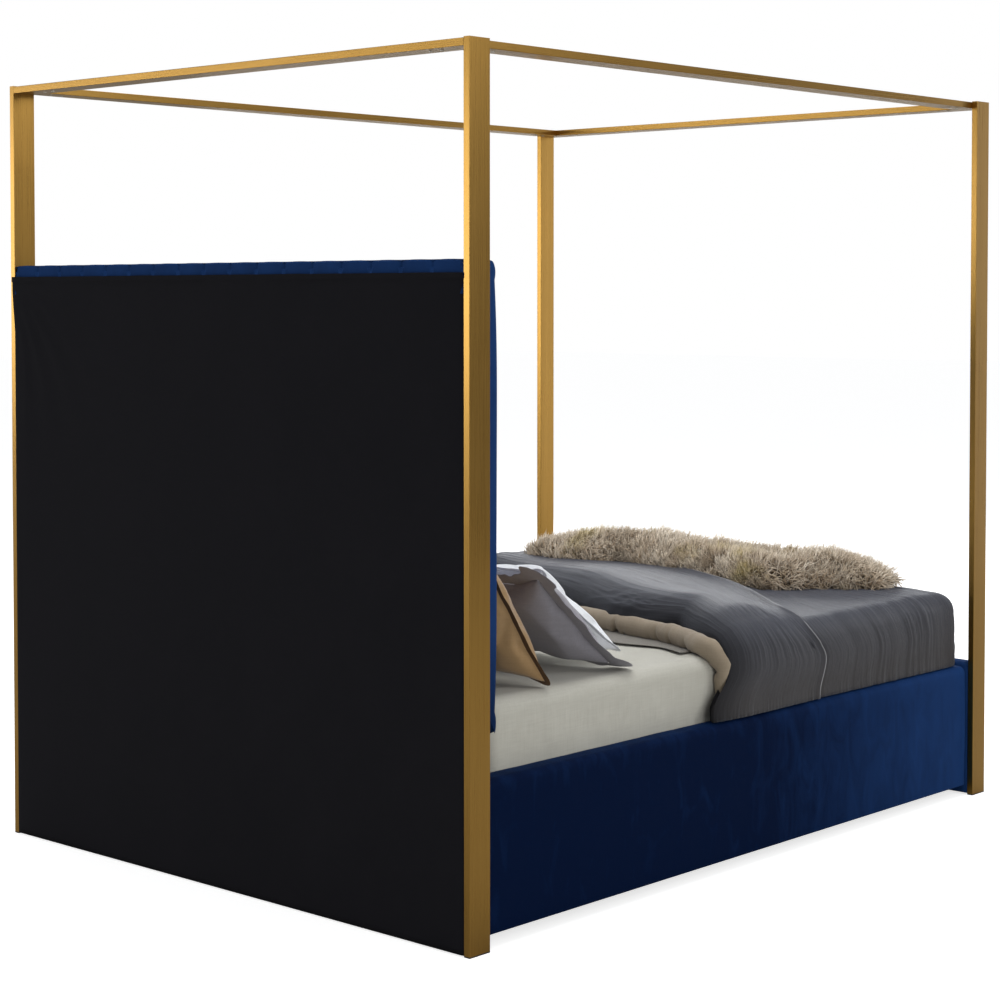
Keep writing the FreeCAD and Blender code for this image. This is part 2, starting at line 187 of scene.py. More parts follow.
def blackNylon():
    f = Finish("blackNylon")
    return f.shade({"Base Color": f.mix(f.noise(120.0), (0.012, 0.012, 0.012), (0.024, 0.024, 0.024)),
                    "Roughness": f.noise(400.0) * 0.15 + 0.5,
                    "Normal": f.bump(f.noise(700.0), 0.15, 0.0002)})


def timber(name, scale, light, dark):
    # sawn pine or ply: rings stretched along the board, pores and a few knots
    f = Finish(name)
    long = f.stretched(scale)
    rings = f.node("TexWave", {"wave_type": "BANDS", "bands_direction": "DIAGONAL"},
                   {"Vector": long, "Scale": 1.2, "Distortion": 9.0, "Detail": 3.0, "Detail Scale": 1.4},
                   "Fac")
    pores = f.noise(9.0, 5.0, 0.7, long)
    tone = f.mix(rings * 0.7 + pores * 0.3, light, dark)
    knot = f.cells(1.1, long)
    tone = f.mix((0.09 - knot).clamped() * 9.0, tone, (0.16, 0.085, 0.035))
    return f.shade({"Base Color": tone, "Roughness": pores * 0.25 + 0.5,
                    "Normal": f.bump(pores * 0.7 + rings * 0.3, 0.25, 0.0006)})


velvetLook = {"deep": (0.0001, 0.0022, 0.013), "lit": (0.0160, 0.0560, 0.190), "sheen": 0.17}


def navyVelvet():
    # cut pile: brushed patches, fine pile grain, painted light towards the foot and the top, a blue bloom at
    # glancing angles
    f = Finish("navyVelvet")
    brushed = f.noise(9.0, 4.0, 0.6, f.stretched((1.0, 1.6, 0.7)), 1.2)
    streak = f.noise(16.0, 3.0, 0.6, f.stretched((2.2, 2.2, 0.25)))
    pile = f.noise(1500.0, 2.0, 0.7)
    alongBed = f.axes()[1]
    upBed = f.axes()[2]
    # lean: painted light, the pile made lighter towards the foot end and towards the top edges, where more
    # light falls
    lean = (alongBed * -0.72 + 0.02).clamped() + (upBed * 4.0 - 2.0).clamped() * 0.55
    lean = lean + (upBed * 6.0 - 1.9).clamped() * 0.22
    tone = f.mix((brushed * 0.6 + streak * 0.2 + lean - 0.44).clamped(), velvetLook["deep"],
                 velvetLook["lit"])
    tone = f.mix(pile * 0.35, tone, (0.006, 0.028, 0.12))
    height = pile * 0.5 + brushed * 0.5
    return f.shade({"Base Color": tone, "Roughness": brushed * 0.2 + 0.62,
                    "Normal": f.bump(height, 0.35, 0.0012), "Specular IOR Level": 0.03,
                    "Sheen Weight": velvetLook["sheen"], "Sheen Roughness": 0.32,
                    "Sheen Tint": (0.04, 0.17, 0.52)})


def dustCloth():
    # spun black lining cloth, faintly dimpled, with soft grey scuffs
    f = Finish("blackDustCloth")
    dimple = f.cells(420.0)
    thread = weave(f, 620.0)
    scuff = f.noise(5.0, 5.0, 0.65)
    tone = f.mix((scuff * 1.8 - 0.6).clamped(), (0.0075, 0.0075, 0.0105), (0.0125, 0.012, 0.0155))
    tone = f.mix((thread * 0.5 + 0.5) * 0.3, tone, (0.019, 0.018, 0.021))
    return f.shade({"Base Color": tone, "Roughness": scuff * 0.2 + 0.72,
                    "Normal": f.bump(dimple * 0.5 + thread * 0.4 + f.noise(60.0, 4.0) * 1.4, 0.3, 0.0008),
                    "Specular IOR Level": 0.08})


def plainCloth(name, dark, light, threads, slub=0.5, rough=0.85, soft=0.12, weaveDepth=0.35):
    # a woven cloth: thread crossings, slubs along both threads, and slow tone changes
    f = Finish(name)
    thread = weave(f, threads)
    slubDown = f.noise(1.0, 3.0, 0.6, f.stretched((260.0, 260.0, 14.0)))
    slubAcross = f.noise(1.0, 3.0, 0.6, f.stretched((14.0, 14.0, 300.0)))
    slow = f.noise(6.0, 3.0)
    mixed = (slubDown * slub + slubAcross * slub + slow * (1.0 - slub) + thread * 0.12).clamped()
    height = thread * 0.5 + slubDown * 0.6 + slubAcross * 0.5
    return f.shade({"Base Color": f.mix(mixed, dark, light), "Roughness": slow * 0.15 + (rough - 0.08),
                    "Normal": f.bump(height, weaveDepth, 0.0005), "Specular IOR Level": 0.2,
                    "Sheen Weight": soft, "Sheen Roughness": 0.5, "Sheen Tint": (0.9, 0.9, 0.95)})


def greyDuvetCloth():
    # washed cotton sateen: drawn creases a few millimetres apart with painted highlight on their ridges and
    # painted shade between them, fine weave over them; painted shade low on the sides and on the flap's
    # front slope
    f = Finish("greyDuvetCloth")
    flow = f.node("UVMap", {"uv_map": "flow"})
    crease = f.noise(1.0, 4.0, 0.62, f.stretched((2.2, 95.0, 1.0), flow), 0.35)
    broad = f.noise(1.0, 3.0, 0.55, f.stretched((1.2, 26.0, 1.0), flow), 0.3)
    thread = weave(f, 900.0)
    slow = f.noise(5.0, 3.0)
    # painted highlight and painted shade: the tone is lighter on the crease ridges and darker between them,
    # following the bump
    tone = f.mix((crease * 0.9 + broad * 0.7 - 0.35).clamped(), (0.030, 0.032, 0.043), (0.073, 0.077,
                                                                                        0.098))
    # painted shade: the cloth darkens to a warm brown low on the duvet's sides
    side = f.axes()[2]
    warm = ((0.60 - side) * 6.0).clamped() * 0.75
    tone = f.mix(warm, tone, (0.034, 0.029, 0.027))
    # painted shade: the front slope of the turned-back flap, next to the fold, is darkened
    acrossFold = f.axes(flow)[1]
    fold = ((acrossFold - 0.31) * 8.0).clamped()
    tone = f.mix(fold * 0.78, tone, (0.008, 0.008, 0.010))
    height = crease * 1.0 + broad * 1.6 + thread * 0.05
    return f.shade({"Base Color": tone, "Roughness": (slow * 0.10 + 0.42 + fold * 0.45).clamped(),
                    "Normal": f.bump(height, 0.62, 0.0034), "Specular IOR Level": 0.36,
                    "Sheen Weight": 0.14, "Sheen Roughness": 0.32, "Sheen Tint": (0.70, 0.80, 1.0)})


def furLook():
    # each lock darkens to brown at its root, painted shade deep in the pile, and pales at its tip; a few
    # locks are yellowish
    f = Finish("creamFur")
    tip = f.node("Attribute", {"attribute_name": "tip"}, out="Fac")
    tint = f.node("Attribute", {"attribute_name": "tint"}, out="Fac")
    patch = f.noise(11.0, 3.0)
    pale = f.mix(tint, (0.52, 0.39, 0.26), (0.99, 0.90, 0.76))
    pale = f.mix((patch * 2.2 - 1.15).clamped(), pale, (0.44, 0.31, 0.18))
    yellow = ((f.noise(5.0, 2.0, 0.5, f.stretched((1.0, 1.0, 1.0))) - 0.60) * 8.0).clamped()
    pale = f.mix(yellow * 0.6, pale, (0.62, 0.50, 0.16))
    # painted shade: the dark brown at each lock's root stands for the shade deep in the pile
    paintedRootShade = f.mix(tint, (0.075, 0.044, 0.020), (0.20, 0.130, 0.066))
    tone = f.mix((tip * 1.85 - 0.42).clamped(), paintedRootShade, pale)
    return f.shade({"Base Color": tone, "Roughness": tip * 0.1 + 0.62, "Sheen Weight": 0.25,
                    "Sheen Roughness": 0.4, "Sheen Tint": (1.0, 0.94, 0.82)})


def stitchedThread(name, colour):
    f = Finish(name)
    twist = (f.axes()[0] * 5000.0 + f.axes()[2] * 5000.0).wave()
    return f.shade({"Base Color": f.mix(twist * 0.5 + 0.5, [part * 0.8 for part in colour], colour),
                    "Roughness": 0.7, "Normal": f.bump(twist, 0.3, 0.0002)})


alongUp = (900.0, 900.0, 5.0)
alongWide = (5.0, 900.0, 900.0)
alongDeep = (900.0, 5.0, 900.0)
looks = {
    "goldUp": brushedGold("brushedGoldUpright", alongUp),
    "goldWide": brushedGold("brushedGoldAcross", alongWide),
    "goldDeep": brushedGold("brushedGoldAlong", alongDeep),
    "zinc": zincSteel(),
    "powder": powderCoat(),
    "nylon": blackNylon(),
    "boardX": timber("pineAcross", (1.0, 16.0, 16.0), (0.66, 0.50, 0.31), (0.48, 0.33, 0.18)),
    "boardY": timber("pineAlong", (16.0, 1.0, 16.0), (0.66, 0.50, 0.31), (0.48, 0.33, 0.18)),
    "ply": timber("plywoodFace", (5.0, 12.0, 0.8), (0.70, 0.55, 0.37), (0.55, 0.40, 0.24)),
    "velvet": navyVelvet(),
    "dust": dustCloth(),
    "webbing": plainCloth("polyWebbing", (0.48, 0.47, 0.42), (0.70, 0.69, 0.64), 330.0),
    "ticking": plainCloth("mattressTicking", (0.60, 0.59, 0.55), (0.78, 0.77, 0.73), 500.0),
    "sheet": plainCloth("ivorySheet", (0.40, 0.385, 0.330), (0.56, 0.55, 0.49), 700.0, 0.62, 0.88, 0.1,
                        0.45),
    "quilting": plainCloth("beigeQuilting", (0.215, 0.170, 0.120), (0.36, 0.295, 0.215), 600.0, 0.5, 0.8,
                           0.2),
    "duvet": greyDuvetCloth(),
    "fur": furLook(),
    "tan": plainCloth("tanPillowCloth", (0.235, 0.135, 0.050), (0.42, 0.27, 0.13), 520.0, 0.4, 0.7, 0.35),
    "tanEdge": plainCloth("brownPillowEdge", (0.055, 0.026, 0.009), (0.11, 0.055, 0.02), 520.0, 0.4,
                          0.75),
    "greyPillow": plainCloth("greyPillowCloth", (0.165, 0.16, 0.185), (0.29, 0.28, 0.315), 640.0, 0.55,
                             0.7, 0.3),
    "whitePillow": plainCloth("whitePillowCloth", (0.74, 0.77, 0.82), (0.90, 0.92, 0.95), 420.0, 0.5,
                              0.85, 0.15, 0.6),
    # a darker copy of the sheet colour: painted shadow under the quilt roll
    "shadeSheet": plainCloth("turnedSheetPaintedShadow", (0.17, 0.158, 0.140), (0.25, 0.235, 0.21), 700.0, 0.5,
                             0.88, 0.1),
    "piping": stitchedThread("paleHemPiping", (0.42, 0.42, 0.44)),
    "coral": plainCloth("coralPatternCloth", (0.42, 0.07, 0.045), (0.62, 0.20, 0.14), 500.0),
}
print("materials:", len(looks))


def addPiece(name, points, faces, look):
    # a mesh object whose place is in its points
    mesh = bpy.data.meshes.new(name)
    mesh.from_pydata([tuple(point) for point in points], [], faces)
    mesh.validate()
    mesh.materials.append(looks[look])
    mesh.polygons.foreach_set("use_smooth", [True] * len(mesh.polygons))
    return addObject(name, mesh)


def addObject(name, data):
    thing = bpy.data.objects.new(name, data)
    bpy.context.scene.collection.objects.link(thing)
    return thing


def settle(piece, body, slotName, *nodes):
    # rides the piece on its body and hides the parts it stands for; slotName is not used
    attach(piece, body)
    if nodes:
        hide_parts(*nodes)


def bake(piece):
    # turns the piece's live modifiers into plain mesh
    graph = bpy.context.evaluated_depsgraph_get()
    mesh = bpy.data.meshes.new_from_object(piece.evaluated_get(graph), preserve_all_data_layers=True,
                                           depsgraph=graph)
    piece.modifiers.clear()
    piece.data = mesh


def thicken(piece, thickness, offset):
    # turns a sheet of faces into cloth of that thickness
    solid = piece.modifiers.new("thickness", "SOLIDIFY")
    solid.thickness = thickness
    solid.offset = offset
    bake(piece)


def outward(piece):
    # makes a closed piece's faces point out
    bm = bmesh.new()
    bm.from_mesh(piece.data)
    bmesh.ops.remove_doubles(bm, verts=bm.verts, dist=0.00002)
    bmesh.ops.recalc_face_normals(bm, faces=bm.faces)
    bm.to_mesh(piece.data)
    bm.free()


def steps(low, high, spacing):
    count = max(1, round((high - low) / spacing))
    return [low + (high - low) * index / count for index in range(count + 1)]


def ease(value):
    value = min(1.0, max(0.0, value))
    return value * value * (3 - 2 * value)


def ripple(x, y, z, seed=0.0):
    # smooth noise between about -1 and 1
    return noise.noise(Vector((x + seed, y - seed, z + seed * 0.37)))


def loopedSurface(loops):
    # points and faces of a closed skin over rings of equal length
    size = len(loops[0])
    points = [point for loop in loops for point in loop]
    faces = []
    for row in range(len(loops) - 1):
        start = row * size
        for column in range(size):
            after = (column + 1) % size
            faces.append((start + column, start + after, start + size + after, start + size + column))
    for row in (0, len(loops) - 1):
        faces.append(tuple(row * size + column for column in range(size)))
    return points, faces


def roundedBlock(low, high, radius, spacing, open=(), shape=None):
    # a block with rounded edges, as one skin of small faces; open names the sides left out, such as "-z"
    lines, coreLow, coreHigh = [], [], []
    for axis in range(3):
        letter = "xyz"[axis]
        coreLow.append(low[axis] + (-1 if "-" + letter in open else radius))
        coreHigh.append(high[axis] - (-1 if "+" + letter in open else radius))
        parts = max(3, round(radius / 0.010))
        turn = [radius * math.tan(math.radians(45 * (part + 1) / parts)) for part in range(parts)]
        line = steps(max(low[axis], coreLow[axis]), min(high[axis], coreHigh[axis]), spacing[axis])
        if "-" + letter not in open:
            line = [low[axis] + radius - part for part in reversed(turn)] + line
        if "+" + letter not in open:
            line = line + [high[axis] - radius + part for part in turn]
        lines.append(line)
    points, faces, known = [], [], {}

    def place(corner):
        key = tuple(round(part, 6) for part in corner)
        if key not in known:
            core = Vector([min(max(corner[i], coreLow[i]), coreHigh[i]) for i in range(3)])
            away = Vector(corner) - core
            known[key] = len(points)
            points.append(core + away.normalized() * radius if away.length > 1e-9 else Vector(corner))
        return known[key]

    for axis in range(3):
        first, second = [other for other in range(3) if other != axis]
        for side, at in (("-", low[axis]), ("+", high[axis])):
            if side + "xyz"[axis] in open:
                continue
            for i in range(len(lines[first]) - 1):
                for j in range(len(lines[second]) - 1):
                    ring = []
                    for a, b in ((i, j), (i + 1, j), (i + 1, j + 1), (i, j + 1)):
                        corner = [0.0, 0.0, 0.0]
                        corner[axis] = at
                        corner[first] = lines[first][a]
                        corner[second] = lines[second][b]
                        ring.append(place(corner))
                    flipped = (side == "+") == (axis == 1)
                    faces.append(tuple(reversed(ring)) if flipped else tuple(ring))
    if shape:
        points = [shape(point) for point in points]
    return points, faces


hardLooks = {
    "post_head_left": "goldUp", "post_head_right": "goldUp", "post_foot_left": "goldUp",
    "post_foot_right": "goldUp",
    "post_top_caps": "goldWide", "canopy_rail_head": "goldWide", "canopy_rail_foot": "goldWide",
    "canopy_rail_left": "goldDeep", "canopy_rail_right": "goldDeep", "post_glides": "nylon",
    "canopy_corner_plates": "zinc", "canopy_end_plugs": "zinc", "canopy_pins": "zinc",
    "canopy_screws": "zinc",
    "post_bolts": "zinc", "corner_bolts": "zinc", "corner_brackets": "zinc", "ledger_screws": "zinc",
    "slat_screws": "zinc", "beam_hangers": "zinc", "centre_beam": "powder",
    "headboard_frame": "boardX", "headboard_panel": "ply", "footboard_core": "boardX",
    "side_rail_core_left": "boardY", "side_rail_core_right": "boardY", "ledger_left": "boardY",
    "ledger_right": "boardY", "slats": "boardX", "slat_straps": "webbing", "rail_bottom_strips": "dust",
}
for number in "123":
    hardLooks["centre_leg_" + number] = "powder"
    hardLooks["foot_stem_" + number] = "zinc"
    hardLooks["foot_pad_" + number] = "nylon"
for nodeName, look in hardLooks.items():
    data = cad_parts[nodeName].data
    data.materials.clear()
    data.materials.append(looks[look])
print("hard parts finished:", len(hardLooks))


headLow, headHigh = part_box("headboard_cover")
wrapLow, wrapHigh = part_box("headboard_top_wrap")
panelLow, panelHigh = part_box("headboard_panel")
headboard = {"channels": 17, "crown": 0.009, "valley": 0.024, "topRound": 0.044, "backSeam": 0.0060,
             "pucker": 0.0014, "raise": 0.009, "endRound": 0.05, "endDrop": 0.022}


def channelDepth(x):
    # 0 on a channel's crown and 1 in the seam between two
    half = headHigh.x
    along = (x + half) / (2 * half) * headboard["channels"]
    across = abs(along - math.floor(along) - 0.5) * 2
    return 1 - (1 - across ** 2.6) ** 0.5


def headboardPath():
    # the cover's section from its foot, up the front, over the top and down the back: (y, z, how soft it is)
    front = headLow.y - headboard["crown"]
    top = wrapHigh.z + headboard["raise"]
    back = wrapHigh.y
    r = headboard["topRound"]
    path = [(panelLow.y, headLow.z, 0.0), (panelLow.y - 0.035, headLow.z, 0.3)]
    for index in range(7):
        angle = math.pi / 2 * index / 6
        path.append((front + r - r * math.sin(angle), headLow.z + r - r * math.cos(angle), index / 6))
    for z in steps(headLow.z + r, top - r, 0.022)[1:]:
        path.append((front, z, 1.0))
    for index in range(1, 8):
        angle = math.pi / 2 * index / 7
        path.append((front + r - r * math.cos(angle), top - r + r * math.sin(angle),
                     1.0 - 0.85 * index / 7))
    for y in steps(front + r, back - 0.007, 0.02)[1:]:
        path.append((y, top, 0.12))
    for index in range(1, 5):
        angle = math.pi / 2 * index / 4
        path.append((back - 0.007 + 0.007 * math.sin(angle), top - 0.007 + 0.007 * math.cos(angle), 0.08))
    for z in steps(top - 0.007, wrapLow.z, 0.008)[1:]:
        path.append((back, z, 0.06))
    return path


def makeHeadboardCover():
    path = headboardPath()
    half = headHigh.x - 0.0006
    inner = [(wrapHigh.y - 0.0016, wrapLow.z), (wrapHigh.y - 0.0016, panelHigh.z), (panelLow.y,
                                                                                    panelHigh.z)]
    columns = []
    channel = 2 * half / headboard["channels"]
    for index in range(headboard["channels"]):
        for part in (0.0, 0.03, 0.09, 0.2, 0.35, 0.5, 0.65, 0.8, 0.91, 0.97):
            columns.append(-half + channel * (index + part))
    columns.append(half)
    loops = []
    for x in columns:
        depth = channelDepth(x * headHigh.x / half)
        nearEnd = max(0.0, (abs(x) - half + headboard["endRound"]) / headboard["endRound"])
        outer = 1 - math.sqrt(max(0.0, 1 - nearEnd ** 2))
        lean = headboard["crown"] * (x / half) ** 2
        loop = []
        for y, z, soft in path:
            wrinkle = headboard["pucker"] * ripple(x * 6, z * 55, 3.0) * math.exp(-((1 - depth) * 3) ** 2)
            sag = 0.0025 * ripple(x * 3.1, z * 2.3, 9.0)
            middle = (z - (headLow.z + headHigh.z) / 2) / (headHigh.z - headLow.z) * 2
            ends = headboard["endDrop"] * outer + 0.010 * middle ** 4
            push = soft * (headboard["valley"] * depth + ends + lean + wrinkle + sag)
            onBack = soft < 0.1
            drop = (1 - soft) * headboard["backSeam"] * depth if not onBack else 0
            if onBack and z > wrapLow.z + 0.01:
                push = -headboard["backSeam"] * depth
            inset = x - math.copysign(0.0016, x) * nearEnd if onBack else x
            loop.append(Vector((inset, y + push, z - drop - 0.006 * outer * soft)))
        for y, z in inner:
            loop.append(Vector((x, y, z)))
        loops.append(loop)
    points, faces = loopedSurface(loops)
    piece = addPiece("headboard_channels", points, faces, "velvet")
    outward(piece)
    settle(piece, "bed_frame", "navy_velvet", "headboard_cover", "headboard_top_wrap", "headboard_foam")


dust = {"hem": 0.013, "hemDepth": 0.0026, "thick": 0.0012, "overlap": 0.012, "raise": 0.007}


def makeDustCover():
    # black cloth over the back: a folded hem along the top, drawn creases at its upper corner
    low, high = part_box("headboard_dust_cover")
    high.z += dust["raise"]
    back = high.y
    rows, points, faces = [], [], []
    xs = steps(low.x, high.x - 0.001, 0.012)
    zs = steps(low.z, high.z - dust["hem"] - 0.002, 0.014) + steps(high.z - dust["hem"], high.z, 0.0032)
    for z in zs:
        row = []
        for x in xs:
            fromTop = high.z - z
            corner = Vector((high.x - x, fromTop)).length
            angle = math.atan2(fromTop, high.x - x + 0.001)
            rays = math.sin(angle * 23 + 1.3 * math.sin(corner * 9)) * ease((0.62 - corner) / 0.5) * 0.0022
            rays *= ease(corner / 0.09) * ease(angle / 0.35)
            slack = 0.0016 * ripple(x * 2.2, z * 1.4, 4.0) + 0.0010 * ripple(x * 7, z * 3.2, 8.0)
            pleat = 0.0011 * ripple(x * 26, z * 2.5, 5.0) * math.exp(-fromTop / 0.10)
            seam = 0.0014 * ease((x + high.x) / 0.012) - 0.0014
            edge = ease(min(x - low.x, high.x - x, z - low.z + 0.01) / 0.05)
            y = back + 0.0006 + abs(rays + slack + pleat + 0.001) * edge + seam
            if fromTop <= dust["hem"]:
                y = back + dust["hemDepth"] + 0.0005 * abs(ripple(x * 15, z, 2.0))
            out = dust["overlap"] * ease((x - high.x + 0.10) / 0.10) * ease(1 - abs(fromTop - 0.02) / 0.16)
            wavy = 0.0008 * ripple(x * 9, 1.0, 6.0) if fromTop < 0.001 else 0
            row.append(len(points))
            points.append(Vector((x + out, y, z + wavy)))
        rows.append(row)
    for a, b in zip(rows, rows[1:]):
        for i in range(len(a) - 1):
            faces.append((a[i], b[i], b[i + 1], a[i + 1]))
    piece = addPiece("headboard_dust_cover_cloth", points, faces, "dust")
    thicken(piece, dust["thick"], -1)
    settle(piece, "bed_frame", "black_dust_cloth", "headboard_dust_cover")


rail = {"topOuter": 0.021, "topInner": 0.010, "bottom": 0.002, "end": 0.020, "swell": 0.0035,
        "spacing": 0.02,
        "footTop": 0.020}


def sectionLoop(width, height, radii, count=6):
    # a rounded rectangle with its own radius at each corner, from the lower left and clockwise
    corners = ((0, 0), (0, height), (width, height), (width, 0))
    loop = []
    for index, ((x, y), radius) in enumerate(zip(corners, radii)):
        cx = x + radius if x == 0 else x - radius
        cy = y + radius if y == 0 else y - radius
        for step in range(count + 1):
            angle = math.radians(270 - 90 * index - 90 * step / count)
            loop.append((cx + radius * math.cos(angle), cy + radius * math.sin(angle)))
    filled = []
    for here, after in zip(loop, loop[1:] + loop[:1]):
        filled.append(here)
        gap = math.dist(here, after)
        extra = int(gap / rail["spacing"])
        for step in range(1, extra):
            part = step / extra
            filled.append((here[0] + (after[0] - here[0]) * part, here[1] + (after[1] - here[1]) * part))
    return filled


def makeSideRail(side):
    node = "side_rail_cover_" + side
    low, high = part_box(node)
    width, height = high.x - low.x, high.z - low.z
    section = sectionLoop(width, height, (rail["bottom"], rail["topInner"], rail["topOuter"],
                                          rail["bottom"]))
    sign = 1 if side == "right" else -1
    inner, outer = (low.x, high.x) if sign > 0 else (high.x, low.x)
    stations = [(low.y + rail["end"] * (1 - math.cos(math.radians(angle))), math.sin(math.radians(angle)))
                for angle in (2, 15, 30, 45, 60, 75)]
    stations += [(y, 1.0) for y in steps(low.y + rail["end"], high.y, rail["spacing"])]
    loops = []
    for y, full in stations:
        loop = []
        for across, up in section:
            shrink = rail["end"] * (1 - full) * (across / width)
            topShrink = 0.010 * (1 - full) * (up / height)
            swell = rail["swell"] * math.sin(math.pi * up / height) * (across / width)
            uneven = 0.0013 * ripple(y * 5, up * 9, 2.0 + sign) + 0.0006 * ripple(y * 26, up * 26, 5.0)
            edgeWave = 0.0020 * abs(ripple(y * 7, 0.0, 7.0)) * (up / height)
            x = across - shrink + abs(swell + uneven) * (across / width) * 0.6
            z = low.z + up - topShrink + edgeWave + 0.0006 * (up / height)
            loop.append(Vector((inner + sign * x, y, z)))
        loops.append(loop)
    points, faces = loopedSurface(loops)
    piece = addPiece("side_rail_velvet_" + side, points, faces, "velvet")
    outward(piece)
    settle(piece, "bed_frame", "navy_velvet", node)


def makeFootboard():
    low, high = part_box("footboard_cover")
    width, height = high.y - low.y, high.z - low.z
    section = sectionLoop(width, height, (rail["bottom"], rail["footTop"], rail["footTop"],
                                          rail["bottom"]))
    loops = []
    for x in steps(low.x + 0.0005, high.x - 0.0005, 0.022):
        loop = []
        for across, up in section:
            face = (across / width - 0.5) * 2
            uneven = 0.0014 * abs(ripple(x * 5, up * 8, 12.0)) * face
            edgeWave = (0.0018 * abs(ripple(x * 6, 2.0, 15.0)) + 0.0005) * (up / height)
            loop.append(Vector((x, low.y + across + uneven, low.z + up + edgeWave)))
        loops.append(loop)
    points, faces = loopedSurface(loops)
    piece = addPiece("footboard_velvet", points, faces, "velvet")
    outward(piece)
    settle(piece, "bed_frame", "navy_velvet", "footboard_cover")


makeHeadboardCover()
makeDustCover()
makeSideRail("left")
makeSideRail("right")
makeFootboard()
print("headboard, rails and footboard covered")


mattressLow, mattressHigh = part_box("mattress")
sheetLow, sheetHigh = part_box("fitted_sheet")
bedTop = sheetHigh.z
mattress = {"round": 0.03, "crown": 0.002, "pull": 0.004, "settle": 0.006}
sheet = {"round": 0.034, "thick": 0.0012, "lift": 0.004, "out": 0.0015, "folds": 0.0030,
         "creases": 0.0045}


def makeMattress():
    def crowned(point):
        inX = 1 - (point.x / mattressHigh.x) ** 4
        middle = (mattressLow.z + mattressHigh.z) / 2
        rise = (point.z - mattressLow.z) / (mattressHigh.z - mattressLow.z)
        pull = mattress["pull"] * math.sin(rise * math.pi)
        lift = mattress["crown"] * inX if point.z > middle else 0
        scale = 1 - pull / mattressHigh.x
        return Vector((point.x * scale, point.y * 0.999, point.z + lift - mattress["settle"]))

    points, faces = roundedBlock(mattressLow, mattressHigh, mattress["round"], (0.05, 0.05, 0.03),
                                 shape=crowned)
    piece = addPiece("mattress_block", points, faces, "ticking")
    outward(piece)
    settle(piece, "mattress", "mattress_ticking", "mattress")


def makeFittedSheet():
    # stretched over the top, hanging in fine upright folds down the sides
    low = sheetLow + Vector((0, 0, sheet["lift"]))
    high = sheetHigh
    top = high.z

    def shape(point):
        down = ease((top - 0.02 - point.z) / 0.12)
        onSide = abs(point.x) > abs(point.y - (low.y + high.y) / 2) * 0.75
        along = point.y if onSide else point.x
        fold = sheet["folds"] * ripple(along * 21, point.z * 3.0, 1.0)
        fold += 0.0018 * ripple(along * 52, point.z * 4.5, 5.0)
        fold += sheet["creases"] * abs(ripple(along * 9, point.z * 1.5, 7.0))
        fold += 0.0030 * (1 - min(1.0, abs(ripple(along * 6, point.z * 2.5, 17.0)) * 9))
        fold *= ease((point.z - 0.385) / 0.05)
        sag = 0.0022 * ripple(point.x * 3, point.y * 3, 2.0)
        sag += 0.0010 * ripple(point.x * 14, point.y * 10, 6.0)
        out = sheet["out"] + (fold - sheet["out"]) * down
        x = point.x + math.copysign(out, point.x) * (1 if abs(point.x) > high.x - 0.03 else 0)
        y = point.y
        if point.y > high.y - 0.03 or point.y < low.y + 0.03:
            y += math.copysign(out * 0.6, point.y - (low.y + high.y) / 2)
        z = point.z + (max(-0.0012, sag) if point.z > top - 0.01 else 0)
        return Vector((x, y, z))

    points, faces = roundedBlock(low, high, sheet["round"], (0.016, 0.009, 0.012), open=("-z",),
                                 shape=shape)
    piece = addPiece("fitted_sheet_cloth", points, faces, "sheet")
    thicken(piece, sheet["thick"], -1)
    settle(piece, "mattress", "ivory_sheet", "fitted_sheet")


makeMattress()
makeFittedSheet()
print("mattress and sheet made")


pillowShapes = {
    "tan": {"size": (0.680, 0.385, 0.120), "lean": 61, "foot": 0.765, "flange": 0.012, "look": "tan",
            "seed": 3.0,
            "bend": 0.022, "slump": 0.016, "flangeLook": "tanEdge", "centre": 0.452, "ear": 0.3},
    "grey": {"size": (0.640, 0.370, 0.115), "lean": 45, "foot": 0.492, "flange": 0.036,
             "look": "greyPillow",
             "seed": 7.0, "bend": 0.02, "slump": 0.014, "flangeLook": "greyPillow", "centre": 0.436,
             "ear": 0.9},
    "white": {"size": (0.600, 0.430, 0.095), "lean": 41, "foot": 0.374, "flange": 0.008,
              "look": "whitePillow",
              "seed": 11.0, "bend": 0.015, "slump": 0.012, "flangeLook": "whitePillow", "centre": 0.390,
              "ear": 0.1},
}


cushionFrames = 20
cushionCloth = {"quality": 5, "mass": 0.25, "tension_stiffness": 18, "compression_stiffness": 18,
                "shear_stiffness": 6,
                "bending_stiffness": 0.25, "air_damping": 2.0, "use_pressure": True,
                "uniform_pressure_force": 4.0}


def pillowBlank(width, height, thick, spacing=0.0115):
    # two layers of cloth joined at their rim, slightly filled; returns points, faces and the rim in order
    columns = round(width / spacing)
    rows = round(height / spacing)
    points, faces, index = [], [], {}
    for layer in (1, -1):
        for j in range(rows + 1):
            for i in range(columns + 1):
                onRim = i in (0, columns) or j in (0, rows)
                if onRim and layer < 0:
                    index[i, j, layer] = index[i, j, 1]
                    continue
                a, b = 2 * i / columns - 1, 2 * j / rows - 1
                full = ((1 - abs(a) ** 2.6) * (1 - abs(b) ** 2.6)) ** 0.5
                index[i, j, layer] = len(points)
                points.append(Vector((a * width / 2, (b + 1) * height / 2, layer * thick * 0.24 * full)))
    for layer in (1, -1):
        for j in range(rows):
            for i in range(columns):
                ring = [index[a, b, layer] for a, b in ((i, j), (i + 1, j), (i + 1, j + 1), (i, j + 1))]
                faces.append(tuple(ring if layer > 0 else reversed(ring)))
    rim = [index[i, 0, 1] for i in range(columns)] + [index[columns, j, 1] for j in range(rows)]
    rim += [index[i, rows, 1] for i in range(columns, 0, -1)] + [index[0, j, 1] for j in range(rows, 0,
                                                                                               -1)]
    return points, faces, rim


